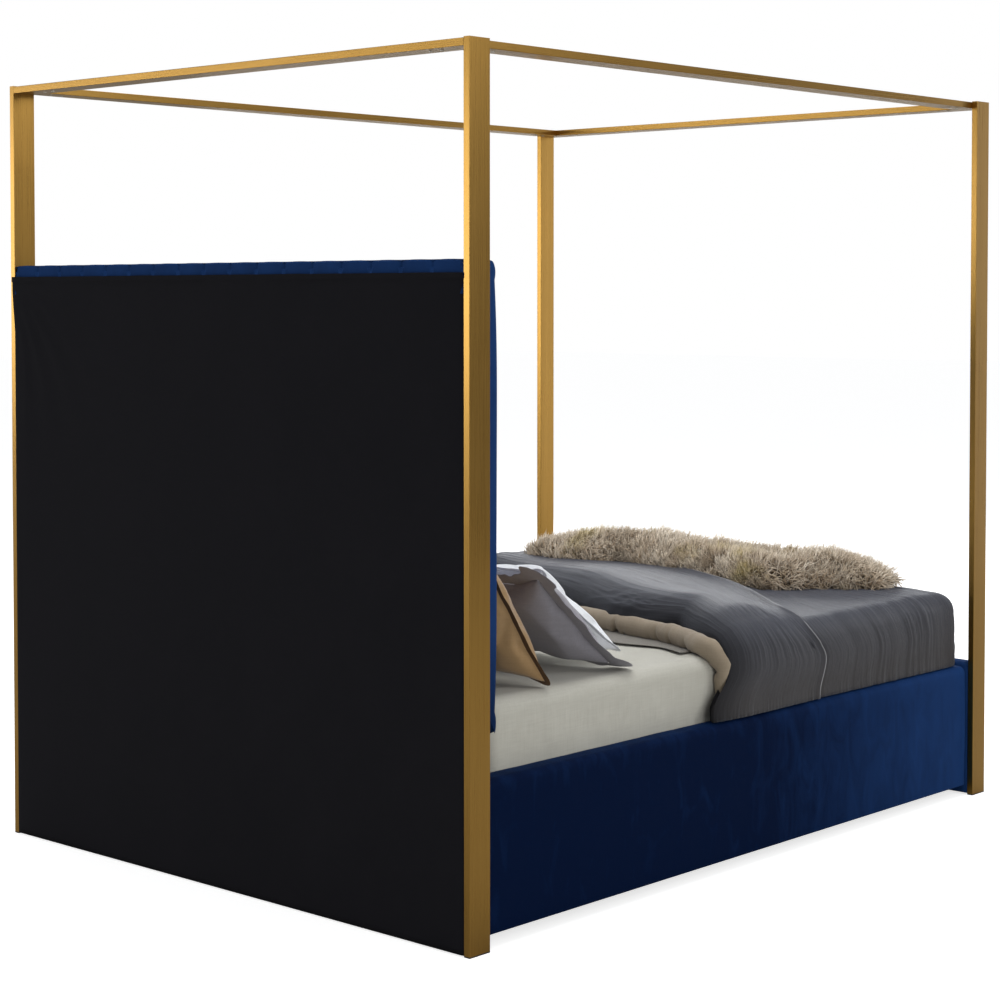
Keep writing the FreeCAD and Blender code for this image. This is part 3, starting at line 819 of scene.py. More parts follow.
def inflate(points, faces, cap=0.05):
    # lets the cloth fill with air, and returns where each point comes to rest
    mesh = bpy.data.meshes.new("blank")
    mesh.from_pydata([tuple(point) for point in points], [], faces)
    blank = addObject("blank", mesh)
    cloth = blank.modifiers.new("cloth", "CLOTH")
    for key, value in cushionCloth.items():
        setattr(cloth.settings, key, value)
    cloth.settings.effector_weights.gravity = 0
    cloth.point_cache.frame_start = 1
    cloth.point_cache.frame_end = cushionFrames
    for step in range(1, cushionFrames + 1):
        bpy.context.scene.frame_set(step)
    graph = bpy.context.evaluated_depsgraph_get()
    solved = blank.evaluated_get(graph).data
    settled = []
    for before, vertex in zip(points, solved.vertices):
        move = vertex.co - before
        settled.append(before + move * min(1.0, cap / max(move.length, 1e-6)))
    bpy.data.objects.remove(blank)
    bpy.context.scene.frame_set(1)
    return settled


def flangeBand(rim, points, width, half, seed, ear):
    # a flat double edge round the pillow, a few millimetres thick and wavy
    centre = sum((points[i] for i in rim), Vector()) / len(rim)
    count = len(rim)
    bandPoints, bandFaces = [], []
    for step in range(count):
        here = points[rim[step]]
        along = points[rim[(step + 1) % count]] - points[rim[step - 1]]
        away = Vector((along.y, -along.x, 0)).normalized()
        if away.dot(here - centre) < 0:
            away = -away
        run = step / count * math.tau
        wave, small = [noise.noise(Vector((math.cos(run) * size + seed, math.sin(run) * size, seed)))
                       for size in (3.4, 11)]
        ahead = (points[rim[(step + 3) % count]] - here).normalized()
        turn = ahead.dot((here - points[rim[step - 3]]).normalized())
        reach = width * (1 + 0.16 * small + ear * (1 - max(0.0, turn)))
        outline = ((-0.004, half), (reach * 0.5, half), (reach, half * 0.8), (reach, -half * 0.8),
                   (reach * 0.5, -half), (-0.004, -half))
        for out, up in outline:
            lift = (wave * 0.34 + small * 0.12) * width * (max(0.0, out) / width) ** 1.3
            bandPoints.append(here + away * out + Vector((0, 0, up + lift)))
    for step in range(count):
        after = (step + 1) % count
        for k in range(6):
            j = (k + 1) % 6
            bandFaces.append((step * 6 + k, step * 6 + j, after * 6 + j, after * 6 + k))
    return bandPoints, bandFaces


def makePillow(kind, side, solved):
    spec = pillowShapes[kind]
    points, faces, rim = solved
    width, height, thick = spec["size"]
    lean = math.radians(spec["lean"])
    up = Vector((0, math.cos(lean), math.sin(lean)))
    out = Vector((0, -math.sin(lean), math.cos(lean)))
    bed = bedTop + 0.0015
    depth = max(abs(p.z) for p in points)
    sign = 1 if side == "right" else -1
    seed = spec["seed"] + (20 if side == "right" else 0)
    band, bandFaces = flangeBand(rim, points, spec["flange"], 0.0014, seed, spec["ear"])
    base = Vector((sign * spec["centre"], spec["foot"], bed + thick / 2))

    def place(p):
        a, b = p.x / (width / 2), p.y / height
        w = p.z * (thick / 2) / depth
        dent = spec["slump"] * (1 - a * a) * math.sin(math.pi * min(1.0, max(0.0, b)))
        bend = -spec["bend"] * (a * a) * (0.4 + b) - 0.012 * b * b
        soft = 0.006 * ripple(p.x * 5, p.y * 5, seed) + 0.0022 * ripple(p.x * 17, p.y * 13, seed + 4)
        local = w + bend + soft - dent * 0.4
        at = base + Vector((sign * p.x, 0,
                            0)) + up * (p.y - thick / 2 - 0.012 * (1 - a * a) * b) + out * local
        if at.z < bed:
            deep = bed - at.z
            at.y -= deep * 0.75
            at.z = bed + 0.004 * math.exp(-deep * 60) + 0.0002
        return at

    allPoints = [place(p) for p in points] + [place(p) for p in band]
    start = len(points)
    allFaces = list(faces) + [tuple(start + i for i in face) for face in bandFaces]
    name = "pillow_" + kind + "_" + side
    piece = addPiece(name + "_cushion", allPoints, allFaces, spec["look"])
    piece.data.materials.append(looks[spec["flangeLook"]])
    for polygon in piece.data.polygons:
        polygon.material_index = 1 if polygon.index >= len(faces) else 0
    outward(piece)
    smooth = piece.modifiers.new("smooth", "SUBSURF")
    smooth.levels = 1
    smooth.render_levels = 1
    bake(piece)
    settle(piece, name, kind + "_pillow", name)


for kind, spec in pillowShapes.items():
    blankPoints, blankFaces, blankRim = pillowBlank(*spec["size"])
    settledPoints = inflate(blankPoints, blankFaces)
    for side in ("left", "right"):
        makePillow(kind, side, (settledPoints, blankFaces, blankRim))
    print("pillows made:", kind)


def throughPoints(pairs):
    # a smooth curve through (x, y) pairs, straight on beyond its ends
    pairs = sorted(pairs)
    xs = [pair[0] for pair in pairs]
    ys = [pair[1] for pair in pairs]
    slopes = []
    for i in range(len(xs)):
        a, b = max(0, i - 1), min(len(xs) - 1, i + 1)
        slopes.append((ys[b] - ys[a]) / (xs[b] - xs[a]))

    def value(x):
        if x <= xs[0]:
            return ys[0] + slopes[0] * (x - xs[0])
        if x >= xs[-1]:
            return ys[-1] + slopes[-1] * (x - xs[-1])
        i = max(k for k in range(len(xs)) if xs[k] <= x)
        i = min(i, len(xs) - 2)
        gap = xs[i + 1] - xs[i]
        t = (x - xs[i]) / gap
        return ((2 * t ** 3 - 3 * t ** 2 + 1) * ys[i] + (t ** 3 - 2 * t ** 2 + t) * gap * slopes[i]
                + (3 * t ** 2 - 2 * t ** 3) * ys[i + 1] + (t ** 3 - t ** 2) * gap * slopes[i + 1])

    return value


foldLine = throughPoints([(0.80, -0.62), (0.42, -0.46), (0.067, -0.241), (-0.169, -0.10), (-0.344,
                                                                                           -0.006),
                          (-0.459, 0.012), (-0.508, -0.009), (-0.552, -0.02), (-0.679, 0.07), (-0.76,
                                                                                               0.118),
                          (-0.82, 0.128)])
hemLine = throughPoints([(0.80, -0.98), (0.45, -0.93), (0.15, -0.85), (-0.035, -0.755), (-0.25, -0.64),
                         (-0.44, -0.50), (-0.60, -0.36), (-0.72, -0.27), (-0.82, -0.235)])
rollLine = throughPoints([(0.80, -0.53), (0.45, -0.40), (0.08, -0.19), (-0.17, -0.071), (-0.255, -0.052),
                          (-0.384, -0.014), (-0.468, 0.004), (-0.539, 0.018), (-0.645, 0.060), (-0.76,
                                                                                                0.13),
                          (-0.80, 0.15)])


quilt = {"roll": 0.0255, "slabTop": 0.0165, "pucker": 0.12, "drop": 0.165}
quiltLow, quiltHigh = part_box("quilt")


def makeQuiltSlab():
    loops = []
    low, high = quiltLow.z, quiltLow.z + quilt["slabTop"]
    for x in steps(quiltLow.x - 0.006, quiltHigh.x + 0.006, 0.03):
        front = rollLine(x)
        loop = [Vector((x, y, low)) for y in (front, front - 0.2, -0.8, quiltLow.y)]
        for y in reversed(steps(front, quiltLow.y, 0.03)):
            loop.append(Vector((x, y, high + 0.002 * ripple(x * 14, y * 14, 3.0))))
        loops.append(loop)
    size = min(len(loop) for loop in loops)
    for loop in loops:
        while len(loop) > size:
            loop.pop(len(loop) // 2)
    points, faces = loopedSurface(loops)
    piece = addPiece("quilt_slab", points, faces, "quilting")
    outward(piece)
    settle(piece, "quilt", "beige_quilting", "quilt")


def tubeAlong(path, section):
    # a closed skin along a path; section(index) gives the ring in the two directions across it
    loops = []
    lift = Vector((0, 0, 1))
    for index, here in enumerate(path):
        ahead = path[min(index + 1, len(path) - 1)] - path[max(index - 1, 0)]
        ahead.normalize()
        lift = (lift - ahead * lift.dot(ahead)).normalized()
        aside = ahead.cross(lift)
        loops.append([here + aside * a + lift * b for a, b in section(index)])
    return loopedSurface(loops)


def makeQuiltRoll():
    # up the near side, thinning to its lower end, and then across the bed
    r = quilt["roll"]
    edge = quiltHigh.x + 0.014
    bend = 0.040
    path = []
    nearY = rollLine(-edge)
    for z in steps(quiltLow.z - quilt["drop"], quiltLow.z - 0.03, 0.009):
        below = (quiltLow.z - z) / quilt["drop"]
        path.append(Vector((-edge - 0.028, nearY - 0.030 + 0.006 * below, z)))
    for step in range(1, 8):
        angle = math.radians(90 * step / 8)
        centreX, centreZ = -edge - 0.03 + bend, quiltLow.z - 0.03
        path.append(Vector((centreX - bend * math.cos(angle), nearY - 0.030 * (1 - step / 8),
                            centreZ + (bend + 0.012) * math.sin(angle))))
    for x in steps(-edge + 0.02, edge, 0.005):
        path.append(Vector((x, rollLine(x), quiltLow.z + r * 0.90)))
    lengths = [0.0]
    for a, b in zip(path, path[1:]):
        lengths.append(lengths[-1] + (b - a).length)

    pinches = [(0.105, 0.008, 0.70, 3.6), (0.150, 0.008, 0.75, 3.8), (0.222, 0.009, 0.62, 3.9),
               (0.285, 0.008, 0.35, 3.3), (0.345, 0.010, 0.50, 3.8), (0.39, 0.007, 0.28, 3.2),
               (0.46, 0.010, 0.35, 3.4), (0.545, 0.010, 0.30, 3.7), (0.665, 0.008, 0.55, 3.5)]
    for number in range(24):
        place = 0.30 + 0.052 * number + 0.017 * math.sin(number * 5.3)
        pinches.append((place, 0.0065, 0.34 + 0.16 * math.sin(number * 2.9),
                        2.75 + 0.55 * math.sin(number * 1.7)))

    def pinched(along, angle):
        depth = 0.0
        for at, wide, deep, facing in pinches:
            toward = (0.5 + 0.5 * math.cos(angle - facing)) ** 1.7
            skew = 0.030 * math.sin(angle - facing) * math.cos(at * 37)
            near = (along - at - skew) / wide
            depth += 1.05 * deep * toward * math.exp(-near ** 2)
        return depth

    def section(index):
        along = lengths[index]
        thin = 0.30 + 0.70 * ease(along / 0.20)
        thin *= ease((lengths[-1] - along + 0.01) / 0.05) * 0.9 + 0.1
        fat = 1 + 0.10 * ripple(along * 9, 0, 3.0)
        ring = []
        for k in range(36):
            angle = math.tau * k / 36
            gather = ripple(along * 26, math.cos(angle) * 1.1, 5.0 + math.sin(angle) * 0.6)
            crease = -abs(ripple(along * 15 + 3, math.cos(angle) * 0.8, 8.0)) ** 0.6
            fine = ripple(along * 70, math.cos(angle) * 2.0, 12.0 + math.sin(angle))
            radius = r * thin * fat * (1 + quilt["pucker"] * (0.5 * gather + 0.7 * crease + 0.28)
                                       + 0.02 * fine)
            radius *= 1.04 - pinched(along, angle)
            ring.append((radius * 1.18 * math.cos(angle), radius * math.sin(angle)))
        return ring

    points, faces = tubeAlong(path, section)
    floor = quiltLow.z + 0.001
    for point in points:
        if point.z < floor and abs(point.x) < edge - 0.03:
            point.z = floor
    piece = addPiece("quilt_roll", points, faces, "quilting")
    outward(piece)
    settle(piece, "quilt", "beige_quilting")


def laidStrip(name, xs, reach, look, seed, lift=0.0):
    # a thin strip of cloth that shows from under the roll; reach(x) is how far it comes out
    points, faces = [], []
    rows = 10
    for x in xs:
        for k in range(rows):
            t = k / (rows - 1)
            y = rollLine(x) - 0.01 + (reach(x) + 0.01) * t
            rise = 0.0030 * math.exp(-((1 - t) * 5) ** 2) + 0.0016 * abs(ripple(x * 24, y * 18, seed))
            points.append(Vector((x, y, bedTop + 0.0030 + lift + rise)))
    for i in range(len(xs) - 1):
        for k in range(rows - 1):
            a = i * rows + k
            faces.append((a, a + rows, a + rows + 1, a + 1))
    piece = addPiece(name, points, faces, look)
    thicken(piece, sheet["thick"], 1)
    outward(piece)
    settle(piece, "quilt", "beige_quilting")
    area = sum((reach(x) + 0.01) * (xs[1] - xs[0]) for x in xs[1:])


def coralReach(x):
    # a short stretch, drawn back at both its ends
    drawn = ease((-0.16 - x) / 0.10) + ease((x + 0.02) / 0.1)
    return 0.036 + 0.010 * math.sin(x * 31) - 0.030 * drawn


def turnedReach(x):
    # the flat top sheet under the quilt comes out as a soft tongue near the middle of the bed; its dark
    # colour is a painted shadow cast by the roll
    return 0.060 + 0.085 * math.exp(-((x + 0.40) / 0.20) ** 2) + 0.012 * ripple(x * 9, 1.0, 2.0)


makeQuiltSlab()
makeQuiltRoll()
laidStrip("quilt_lining_fold", steps(-0.27, 0.10, 0.008), coralReach, "coral", 4.0, 0.0045)
# the turned sheet is coloured dark as a painted shadow under the roll
laidStrip("turned_top_sheet", steps(-0.70, 0.55, 0.012), turnedReach, "shadeSheet", 9.0)
print("quilt made")


duvetLow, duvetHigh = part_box("duvet")
duvetHigh.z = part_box("fur_throw")[0].z - 0.0005
duvet = {"round": 0.058, "thick": 0.026, "flapStep": 0.011, "crown": 0.044, "nose": 0.026, "hemAt": 0.56,
         "hemRow": 0.0028, "piping": 0.0013, "widest": 0.833}


def ridge(value):
    # turns smooth noise into narrow ridges, between 0 and 1
    return (1 - min(1.0, abs(value) * 2.2)) ** 2


def duvetCrease(u, v, hang, x):
    # how far the cloth stands out: drawn creases run with the fold, and the turned edge is crumpled
    shoulder = ease((abs(x) - 0.45) / 0.30)
    down = ease(hang / 0.20)
    onFlap = ease(v / 0.02)
    wander = 0.022 * ripple(u * 2.4, v * 2.0, 4.0) + 0.006 * ripple(u * 7, v * 9, 2.0)
    at = v + wander
    broad = ripple(u * 1.3, at * 17, 9.0)
    long = ridge(ripple(u * 1.5, at * 34, 1.0))
    fine = ridge(ripple(u * 3.0, at * 78, 6.0))
    slow = ripple(u * 3.0, v * 6.0, 14.0)
    patch = ease(0.5 + 1.2 * ripple(u * 4.5, v * 5.0, 31.0))
    calm = 1 - 0.65 * down * onFlap
    push = slow * 0.0045 + broad * 0.0034 * (1 - 0.5 * down) + (long - 0.25) * 0.0036 * patch * calm
    push += (fine - 0.25) * (0.0004 + 0.0019 * shoulder * patch) * calm
    push += (ridge(ripple(u * 4.0, at * 120, 26.0)) - 0.25) * 0.0008 * shoulder
    low = ease((hang - 0.12) / 0.06) * ease(0.5 + 2.0 * ripple(v * 7, 1.0, 3.0))
    push += (ridge(ripple(u * 3, at * 75, 21.0)) - 0.2) * 0.0020 * low
    nearFold = ease(1 - (0.45 - v) / 0.13) * onFlap
    folded = ripple(u * 9 + 3 * v, v * 26 + 1.5 * math.sin(u * 9), 6.0)
    crumple = ridge(folded) * 0.007 * ease(1 - abs(u + 0.38) / 0.42)
    crumple += ridge(ripple(u * 17, v * 44, 16.0)) * 0.003 * ease(1 - abs(u + 0.45) / 0.30)
    push += (crumple - 0.0035) * nearFold
    push += 0.0035 * math.exp(-((v - 0.006) / 0.006) ** 2)
    push -= 0.0045 * math.exp(-((v + 0.012) / 0.010) ** 2) * shoulder
    return push * (1 - 0.25 * down)


def makeDuvet():
    low, high = duvetLow, duvetHigh
    front, foot = high.y, low.y
    nose, hemAt = duvet["nose"], duvet["hemAt"]
    flows = []

    def shape(point):
        # the block's own length runs from the foot to the fold, so each line across it follows the fold
        x, y, z = point
        side = 1 if x > 0 else -1
        hang = max(0.0, (high.z - z))
        t = (y - foot) / (front - foot)
        fold = foldLine(x)
        hem = hemLine(x)
        if side < 0:
            hem += 0.03 * ease((hang - 0.11) / 0.09) - 0.085 * ease(hang / 0.11)
            fold += 0.045 * ease((hang - 0.10) / 0.09) - 0.020 * math.exp(-((hang - 0.085) / 0.045) ** 2)
        if t >= hemAt:
            part = (t - hemAt) / (1 - hemAt)
            newY = hem + (fold - hem) * part
            v = 0.45 * part
            crown = duvet["crown"] * (1 - 0.9 * ease((x + 0.05) / 0.6))
            behind = (1 - part) * (fold - hem)
            rise = math.sin(math.pi / 2 * min(1.0, behind / 0.15))
            bulge = duvet["flapStep"] + crown * rise * (1 - 0.75 * ease((behind - 0.13) / (fold - hem
                                                                                           - 0.13)))
        else:
            part = t / hemAt
            newY = foot + (hem - foot) * part
            v = -(0.75 * (1 - part))
            bulge = 0.0
            if part > 0.985:
                bulge = duvet["flapStep"] * ease((part - 0.985) / 0.015)
        onTop = ease(1 - hang / 0.20)
        noseAt = fold - newY
        if noseAt < nose:
            bulge -= 1.2 * nose * (1 - math.sqrt(max(0.0, 1 - (1 - noseAt / nose) ** 2)))
        newZ = z
        if z > low.z + 0.002:
            flat = 1 - ease((abs(x) - 0.70) / 0.12)
            fade = 1 if hang < 0.002 else onTop * (1 if hang < 0.07 else 0.35)
            newZ += bulge * (0.35 + 0.65 * flat) * fade
        newX = x + side * max(-0.02, bulge) * 0.18 if abs(x) > 0.78 else x
        u = x if hang < 0.002 else side * (0.76 + hang * 1.1)
        if y <= foot + 0.04:
            v -= hang * 0.9
        flows.append((u, v, hang, x))
        return Vector((newX, newY, newZ))

    spacing = (0.018, 0.0031, 0.009)
    points, faces = roundedBlock(low, high, duvet["round"], spacing, open=("-z", "+y"), shape=shape)
    piece = addPiece("duvet_cloth", points, faces, "duvet")
    mesh = piece.data
    mesh.update()
    normals = [vertex.normal.copy() for vertex in mesh.vertices]
    widest = duvet["widest"]
    for vertex, normal, flow in zip(mesh.vertices, normals, flows):
        vertex.co += normal * duvetCrease(*flow)
        if abs(vertex.co.x) > widest:
            vertex.co.x = math.copysign(widest + (abs(vertex.co.x) - widest) * 0.2, vertex.co.x)
    line = []
    for vertex, (u, v, hang, x) in zip(mesh.vertices, flows):
        if 0 <= v < duvet["hemRow"] and x < 0.66:
            line.append((u, vertex.co + vertex.normal * 0.0008))
    line.sort(key=lambda pair: pair[0])
    flowMap = mesh.uv_layers.new(name="flow")
    for loop in mesh.loops:
        flowMap.data[loop.index].uv = flows[loop.vertex_index][:2]
    thicken(piece, duvet["thick"], -1)
    settle(piece, "duvet", "grey_duvet", "duvet")
    return [point for _, point in line]


def makeDuvetHem(line):
    # the pale piped edge of the turned-back part, laid along the step in the cloth
    path = [line[0]]
    for point in line[1:]:
        if (point - path[-1]).length > 0.004:
            path.append(point)
    total = len(path)

    def section(index):
        ends = min(index, total - 1 - index)
        radius = duvet["piping"] * (0.4 + 0.6 * min(1.0, ends / 4))
        angles = [math.tau * k / 8 for k in range(8)]
        return [(radius * math.cos(angle), radius * math.sin(angle)) for angle in angles]

    points, faces = tubeAlong(path, section)
    piece = addPiece("duvet_hem_piping", points, faces, "piping")
    outward(piece)
    settle(piece, "duvet", "grey_duvet")


makeDuvetHem(makeDuvet())
print("duvet made")


throw = {"locks": 8600, "length": 0.035, "width": 0.0070, "rest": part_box("fur_throw")[0].z + 0.002,
         "roll": 0.040, "crest": 0.052, "hide": 0.012}
throwFront = throughPoints([(0.70, -0.83), (0.62, -0.79), (0.50, -0.775), (0.38, -0.81), (0.277, -0.86),
                            (0.15, -0.83), (0.0, -0.79), (-0.213, -0.725), (-0.33, -0.70), (-0.40,
                                                                                            -0.725),
                            (-0.45, -0.80), (-0.54, -0.87), (-0.60, -0.89), (-0.66, -0.93)])
throwBack = throughPoints([(0.70, -0.93), (0.50, -1.0), (0.2, -1.015), (-0.2, -1.0), (-0.5, -1.01),
                           (-0.64, -0.99),
                           (-0.70, -0.93)])


def throwHeight(x, y, front, back):
    # a thick roll along the head side, a valley, and a high ridge at the foot
    behind = front - y
    roll = throw["roll"] * math.exp(-((behind - 0.055) / 0.050) ** 2)
    spread = ease((0.70 - x) / 0.32) * ease((x + 0.64) / 0.24)
    crest = throw["crest"] - 0.016 * math.exp(-((x - 0.22) / 0.22) ** 2)
    crest *= math.exp(-((y - back - 0.075) / 0.075) ** 2) * (0.9 + 0.3 * ripple(x * 2.6, 0, 7.0)) * spread
    lump = 0.013 * ripple(x * 9, y * 9, 3.0) + 0.006 * ripple(x * 21, y * 21, 5.0)
    rim = min(behind, y - back) / 0.03
    edge = math.sqrt(max(0.0, 1 - max(0.0, 1 - rim) ** 2))
    return (throw["hide"] + roll * (0.55 + 0.45 * spread) + crest + lump) * edge


def makeThrowBase():
    loops = []
    for x in steps(-0.605, 0.665, 0.012):
        front, back = throwFront(x), throwBack(x)
        ends = min(x + 0.61, 0.67 - x) / 0.09
        taper = math.sqrt(max(0.02, 1 - max(0.0, 1 - ends) ** 2))
        loop = []
        across = [0.5 - 0.5 * math.cos(math.pi * k / 30) for k in range(31)]
        for part in across:
            y = back + (front - back) * part
            top = max(0.0012, throwHeight(x, y, front, back) * taper)
            loop.append(Vector((x, y, throw["rest"] + 0.001 + top)))
        for part in reversed(across[1:-1]):
            loop.append(Vector((x, back + (front - back) * part, throw["rest"])))
        loops.append(loop)
    points, faces = loopedSurface(loops)
    piece = addPiece("throw_hide", points, faces, "fur")
    outward(piece)
    return piece


def makeLock(name, curl, parts=4):
    # one lock of wool a unit long, bending over towards its tip; three-sided
    points, faces, tips = [], [], []
    for k in range(parts):
        t = k / parts
        centre = Vector((curl * t * t, 0.35 * curl * math.sin(t * 4), t))
        wide = 0.5 * (1 - 0.72 * t ** 1.6)
        for corner in range(3):
            angle = math.tau * corner / 3 + t * 1.4
            points.append(centre + Vector((wide * math.cos(angle), wide * 0.7 * math.sin(angle),
                                           0)) * 0.14)
            tips.append(t)
    points.append(Vector((curl, 0.35 * curl * math.sin(4), 1.0)))
    tips.append(1.0)
    for k in range(parts - 1):
        for corner in range(3):
            after = (corner + 1) % 3
            faces.append((k * 3 + corner, k * 3 + after, (k + 1) * 3 + after, (k + 1) * 3 + corner))
    for corner in range(3):
        faces.append(((parts - 1) * 3 + corner, (parts - 1) * 3 + (corner + 1) % 3, parts * 3))
    faces.append((2, 1, 0))
    mesh = bpy.data.meshes.new(name)
    mesh.from_pydata([tuple(point) for point in points], [], faces)
    attribute = mesh.attributes.new("tip", "FLOAT", "POINT")
    attribute.data.foreach_set("value", tips)
    mesh.polygons.foreach_set("use_smooth", [True] * len(mesh.polygons))
    return addObject(name, mesh)


def woolTree(lock, values):
    # Geometry Nodes that grow locks over a surface; values holds each named input's kind and value
    tree = bpy.data.node_groups.new("wool", "GeometryNodeTree")
    tree.interface.new_socket("Geometry", in_out="INPUT", socket_type="NodeSocketGeometry")
    names = {}
    for label, (kind, value) in values.items():
        socket = tree.interface.new_socket(label, in_out="INPUT", socket_type="NodeSocket" + kind)
        socket.default_value = value
        names[label] = socket.identifier
    tree.interface.new_socket("Geometry", in_out="OUTPUT", socket_type="NodeSocketGeometry")
    g = Nodes(tree, "")
    given = g.node("NodeGroupInput")

    def vector(operation, first, second, slot=1):
        return g.node("ShaderNodeVectorMath", {"operation": operation}, {0: first, slot: second})

    def random(low, high):
        return g.node("FunctionNodeRandomValue", {"data_type": "FLOAT"}, {2: low, 3: high}, 1)

    spread = g.node("GeometryNodeDistributePointsOnFaces", {"distribute_method": "RANDOM"},
                    {"Mesh": given, "Density": given.other("Locks per square metre"),
                     "Seed": given.other("Seed")})
    at = g.node("GeometryNodeInputPosition")
    clump = g.node("ShaderNodeTexNoise", None, {"Vector": at, "Scale": 30.0, "Detail": 1.0})
    sweep = g.node("ShaderNodeTexNoise", None, {"Vector": at, "Scale": 8.0, "Detail": 1.0})
    lay = spread.other("Normal")
    for field, reach in ((clump, 4.6), (sweep, 4.5)):
        centred = vector("SUBTRACT", field.other("Color"), (0.5, 0.5, 0.5))
        lay = vector("ADD", lay, vector("SCALE", centred, reach, "Scale"))
    stray = g.node("FunctionNodeRandomValue", {"data_type": "FLOAT_VECTOR"},
                   {0: (-0.20, -0.20, -0.15), 1: (0.20, 0.20, 0.2)})
    lay = vector("ADD", vector("ADD", lay, stray), (0.0, 0.15, 0.12))
    aim = g.node("FunctionNodeAlignRotationToVector", {"axis": "Z"}, {"Vector": lay})
    spin = g.node("ShaderNodeCombineXYZ", None, {2: random(0.0, 6.283)})
    turned = g.node("FunctionNodeRotateRotation", {"rotation_space": "LOCAL"}, {0: aim, 1: spin})
    broad = given.other("Width") * 7.2
    size = g.node("ShaderNodeCombineXYZ", None,
                  {0: broad, 1: broad, 2: random(0.6, 1.25) * given.other("Length")})
    tint = random(0.0, 1.0) * 0.4 + (clump * 2.2 + -0.85)
    tinted = g.node("GeometryNodeStoreNamedAttribute", {"data_type": "FLOAT", "domain": "POINT"},
                    {"Geometry": spread, "Name": "tint", "Value": tint})
    shape = g.node("GeometryNodeObjectInfo", None, {"Object": lock}, "Geometry")
    placed = g.node("GeometryNodeInstanceOnPoints", None,
                    {"Points": tinted, "Instance": shape, "Rotation": turned, "Scale": size})
    real = g.node("GeometryNodeRealizeInstances", None, {"Geometry": placed})
    dressed = g.node("GeometryNodeSetMaterial", None, {"Geometry": real,
                                                       "Material": given.other("Finish")})
    end = tree.nodes.new("NodeGroupOutput")
    tree.links.new(dressed.socket, end.inputs[0])
    return tree, names


def growWool(name, source, lock, values):
    # the wool on a surface, as a plain mesh object
    modifier = source.modifiers.new("growth", "NODES")
    modifier.node_group, names = woolTree(lock, values)
    for label, (kind, value) in values.items():
        modifier[names[label]] = value
    graph = bpy.context.evaluated_depsgraph_get()
    mesh = bpy.data.meshes.new_from_object(source.evaluated_get(graph), preserve_all_data_layers=True,
                                           depsgraph=graph)
    source.modifiers.remove(modifier)
    return addObject(name, mesh)


def makeThrow():
    hide = makeThrowBase()
    kept = [polygon for polygon in hide.data.polygons if polygon.normal.z > -0.5]
    area = sum(polygon.area for polygon in kept)
    top = bpy.data.meshes.new("hideTop")
    top.from_pydata([tuple(vertex.co) for vertex in hide.data.vertices], [],
                    [tuple(p.vertices) for p in kept])
    source = addObject("hideTop", top)
    layers = {"under": (0.50, 0.85, 1.35), "middle": (0.75, 1.0, 1.0), "top": (0.55, 1.15, 0.9),
              "tips": (1.0, 1.3, 0.75)}  # curl, length and width of each layer's locks
    for number, (label, (curl, long, wide)) in enumerate(layers.items()):
        lock = makeLock("lock_" + label, curl)
        values = {"Locks per square metre": ("Float", throw["locks"] / area),
                  "Length": ("Float", throw["length"] * long), "Width": ("Float", throw["width"] * wide),
                  "Seed": ("Int", number + 4), "Finish": ("Material", looks["fur"])}
        settle(growWool("throw_pile_" + label, source, lock, values), "throw", "cream_fur")
        bpy.data.objects.remove(lock)
    bpy.data.objects.remove(source)
    settle(hide, "throw", "cream_fur", "fur_throw")


makeThrow()
print("throw made")


view = {"place": (-4.1338, 4.6042, 1.4609), "yaw": 42.409, "pitch": -1.892, "lens": 78.803,
        "shift": -0.13,
        "sensor": 36.0}
stage = {"size": 40.0, "glow": 0.70, "soft": 0.36}
lights = {  # place, target, size, power
    "overhead": ((0.5, -0.3, 5.5), (0, 0, 0), (4.5, 4.5), 185),
    "headFill": ((-6.5, 2.4, 2.0), (-0.4, 0.3, 0.6), (2.5, 2.0), 80),
    "farRim": ((4.8, -6.0, 2.7), (0, 0, 0.6), (5.0, 2.2), 125),
    "behindHead": ((6.2, 7.2, 1.75), (0, 0.9, 1.6), (6.0, 1.7), 150),
    "nearSide": ((-6.0, -2.0, 3.8), (0, 0.0, 0.6), (2.5, 2.5), 90),
    "footStrip": ((-2.2, -5.4, 1.6), (0.85, -1.08, 1.2), (1.0, 3.2), 24),
}


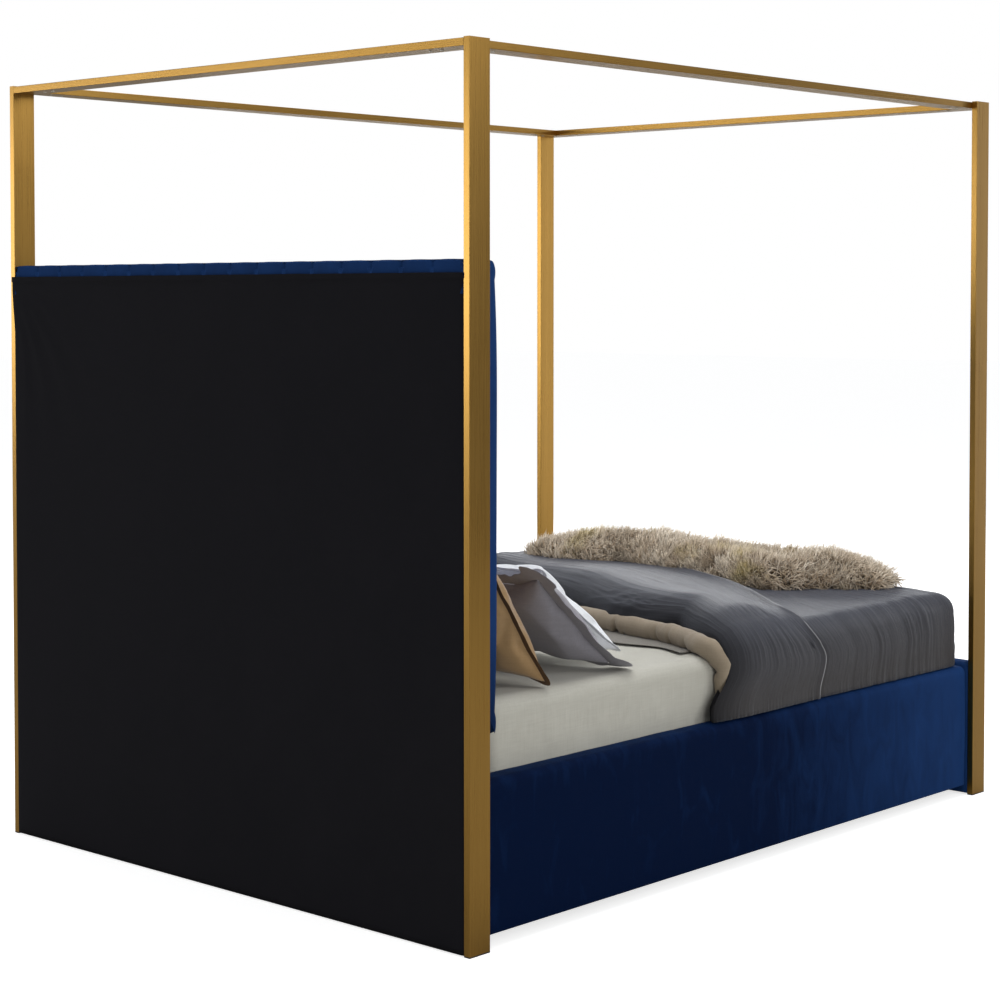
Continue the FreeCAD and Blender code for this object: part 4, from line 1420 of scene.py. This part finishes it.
def makeCamera():
    data = bpy.data.cameras.new("camera")
    data.lens = view["lens"]
    data.sensor_width = view["sensor"]
    data.shift_y = view["shift"]
    data.clip_end = 100.0
    camera = addObject("camera", data)
    camera.location = view["place"]
    yaw, pitch = math.radians(view["yaw"]), math.radians(view["pitch"])
    ahead = Vector((math.sin(yaw) * math.cos(pitch), -math.cos(yaw) * math.cos(pitch), math.sin(pitch)))
    camera.rotation_mode = "QUATERNION"
    camera.rotation_quaternion = ahead.to_track_quat("-Z", "Y")
    bpy.context.scene.camera = camera


def areaLight(name, place, target, size, power):
    data = bpy.data.lights.new(name, "AREA")
    data.shape = "RECTANGLE"
    data.size, data.size_y = size
    data.energy = power
    light = addObject(name, data)
    light.location = place
    light.visible_camera = name != "farRim"  # kept out of the camera's sight
    light.rotation_euler = (Vector(target) - Vector(place)).to_track_quat("-Z", "Y").to_euler()


def makeStage():
    # a pale floor, white where the camera sees it and dimmer for what it lights
    size = stage["size"]
    mesh = bpy.data.meshes.new("floor")
    mesh.from_pydata([(-size, -size, 0), (size, -size, 0), (size, size, 0), (-size, size, 0)], [], [(0,
                                                                                                     1,
                                                                                                     2,
                                                                                                     3)])
    floor = addObject("floor", mesh)
    f = Finish("paleFloor")
    pale = f.mix(f.noise(2.0), (0.80, 0.80, 0.80), (0.82, 0.82, 0.82))
    f.shade({"Base Color": pale, "Roughness": 0.9, "Emission Color": (1, 1, 1),
             "Emission Strength": stage["glow"]})
    dim = f.node("BsdfDiffuse", None, {"Color": (0.52, 0.51, 0.48)})
    direct = f.node("LightPath", out="Is Camera Ray")
    both = f.node("MixShader", None, {0: direct, 1: dim, 2: Wire(f.tree, f.shader.outputs[0])})
    f.plug(f.tree.nodes["Material Output"].inputs["Surface"], both)
    mesh.materials.append(f.material)


def makeSurround():
    # white where the camera sees it, and dimmer for everything it lights
    bpy.context.scene.view_settings.view_transform = "Standard"
    world = bpy.data.worlds.new("studio")
    bpy.context.scene.world = world
    world.use_nodes = True
    w = Nodes(world.node_tree, "ShaderNode")
    soft = w.node("Background", None, {"Color": (0.97, 0.985, 1), "Strength": stage["soft"]})
    seen = w.node("Background", None, {"Color": (1, 1, 1), "Strength": 1.0})
    direct = w.node("LightPath", out="Is Camera Ray")
    choose = w.node("MixShader", None, {0: direct, 1: soft, 2: seen})
    w.plug(w.tree.nodes["World Output"].inputs["Surface"], choose)


makeCamera()
makeStage()
makeSurround()
for name, values in lights.items():
    areaLight(name, *values)
print("camera and light placed")
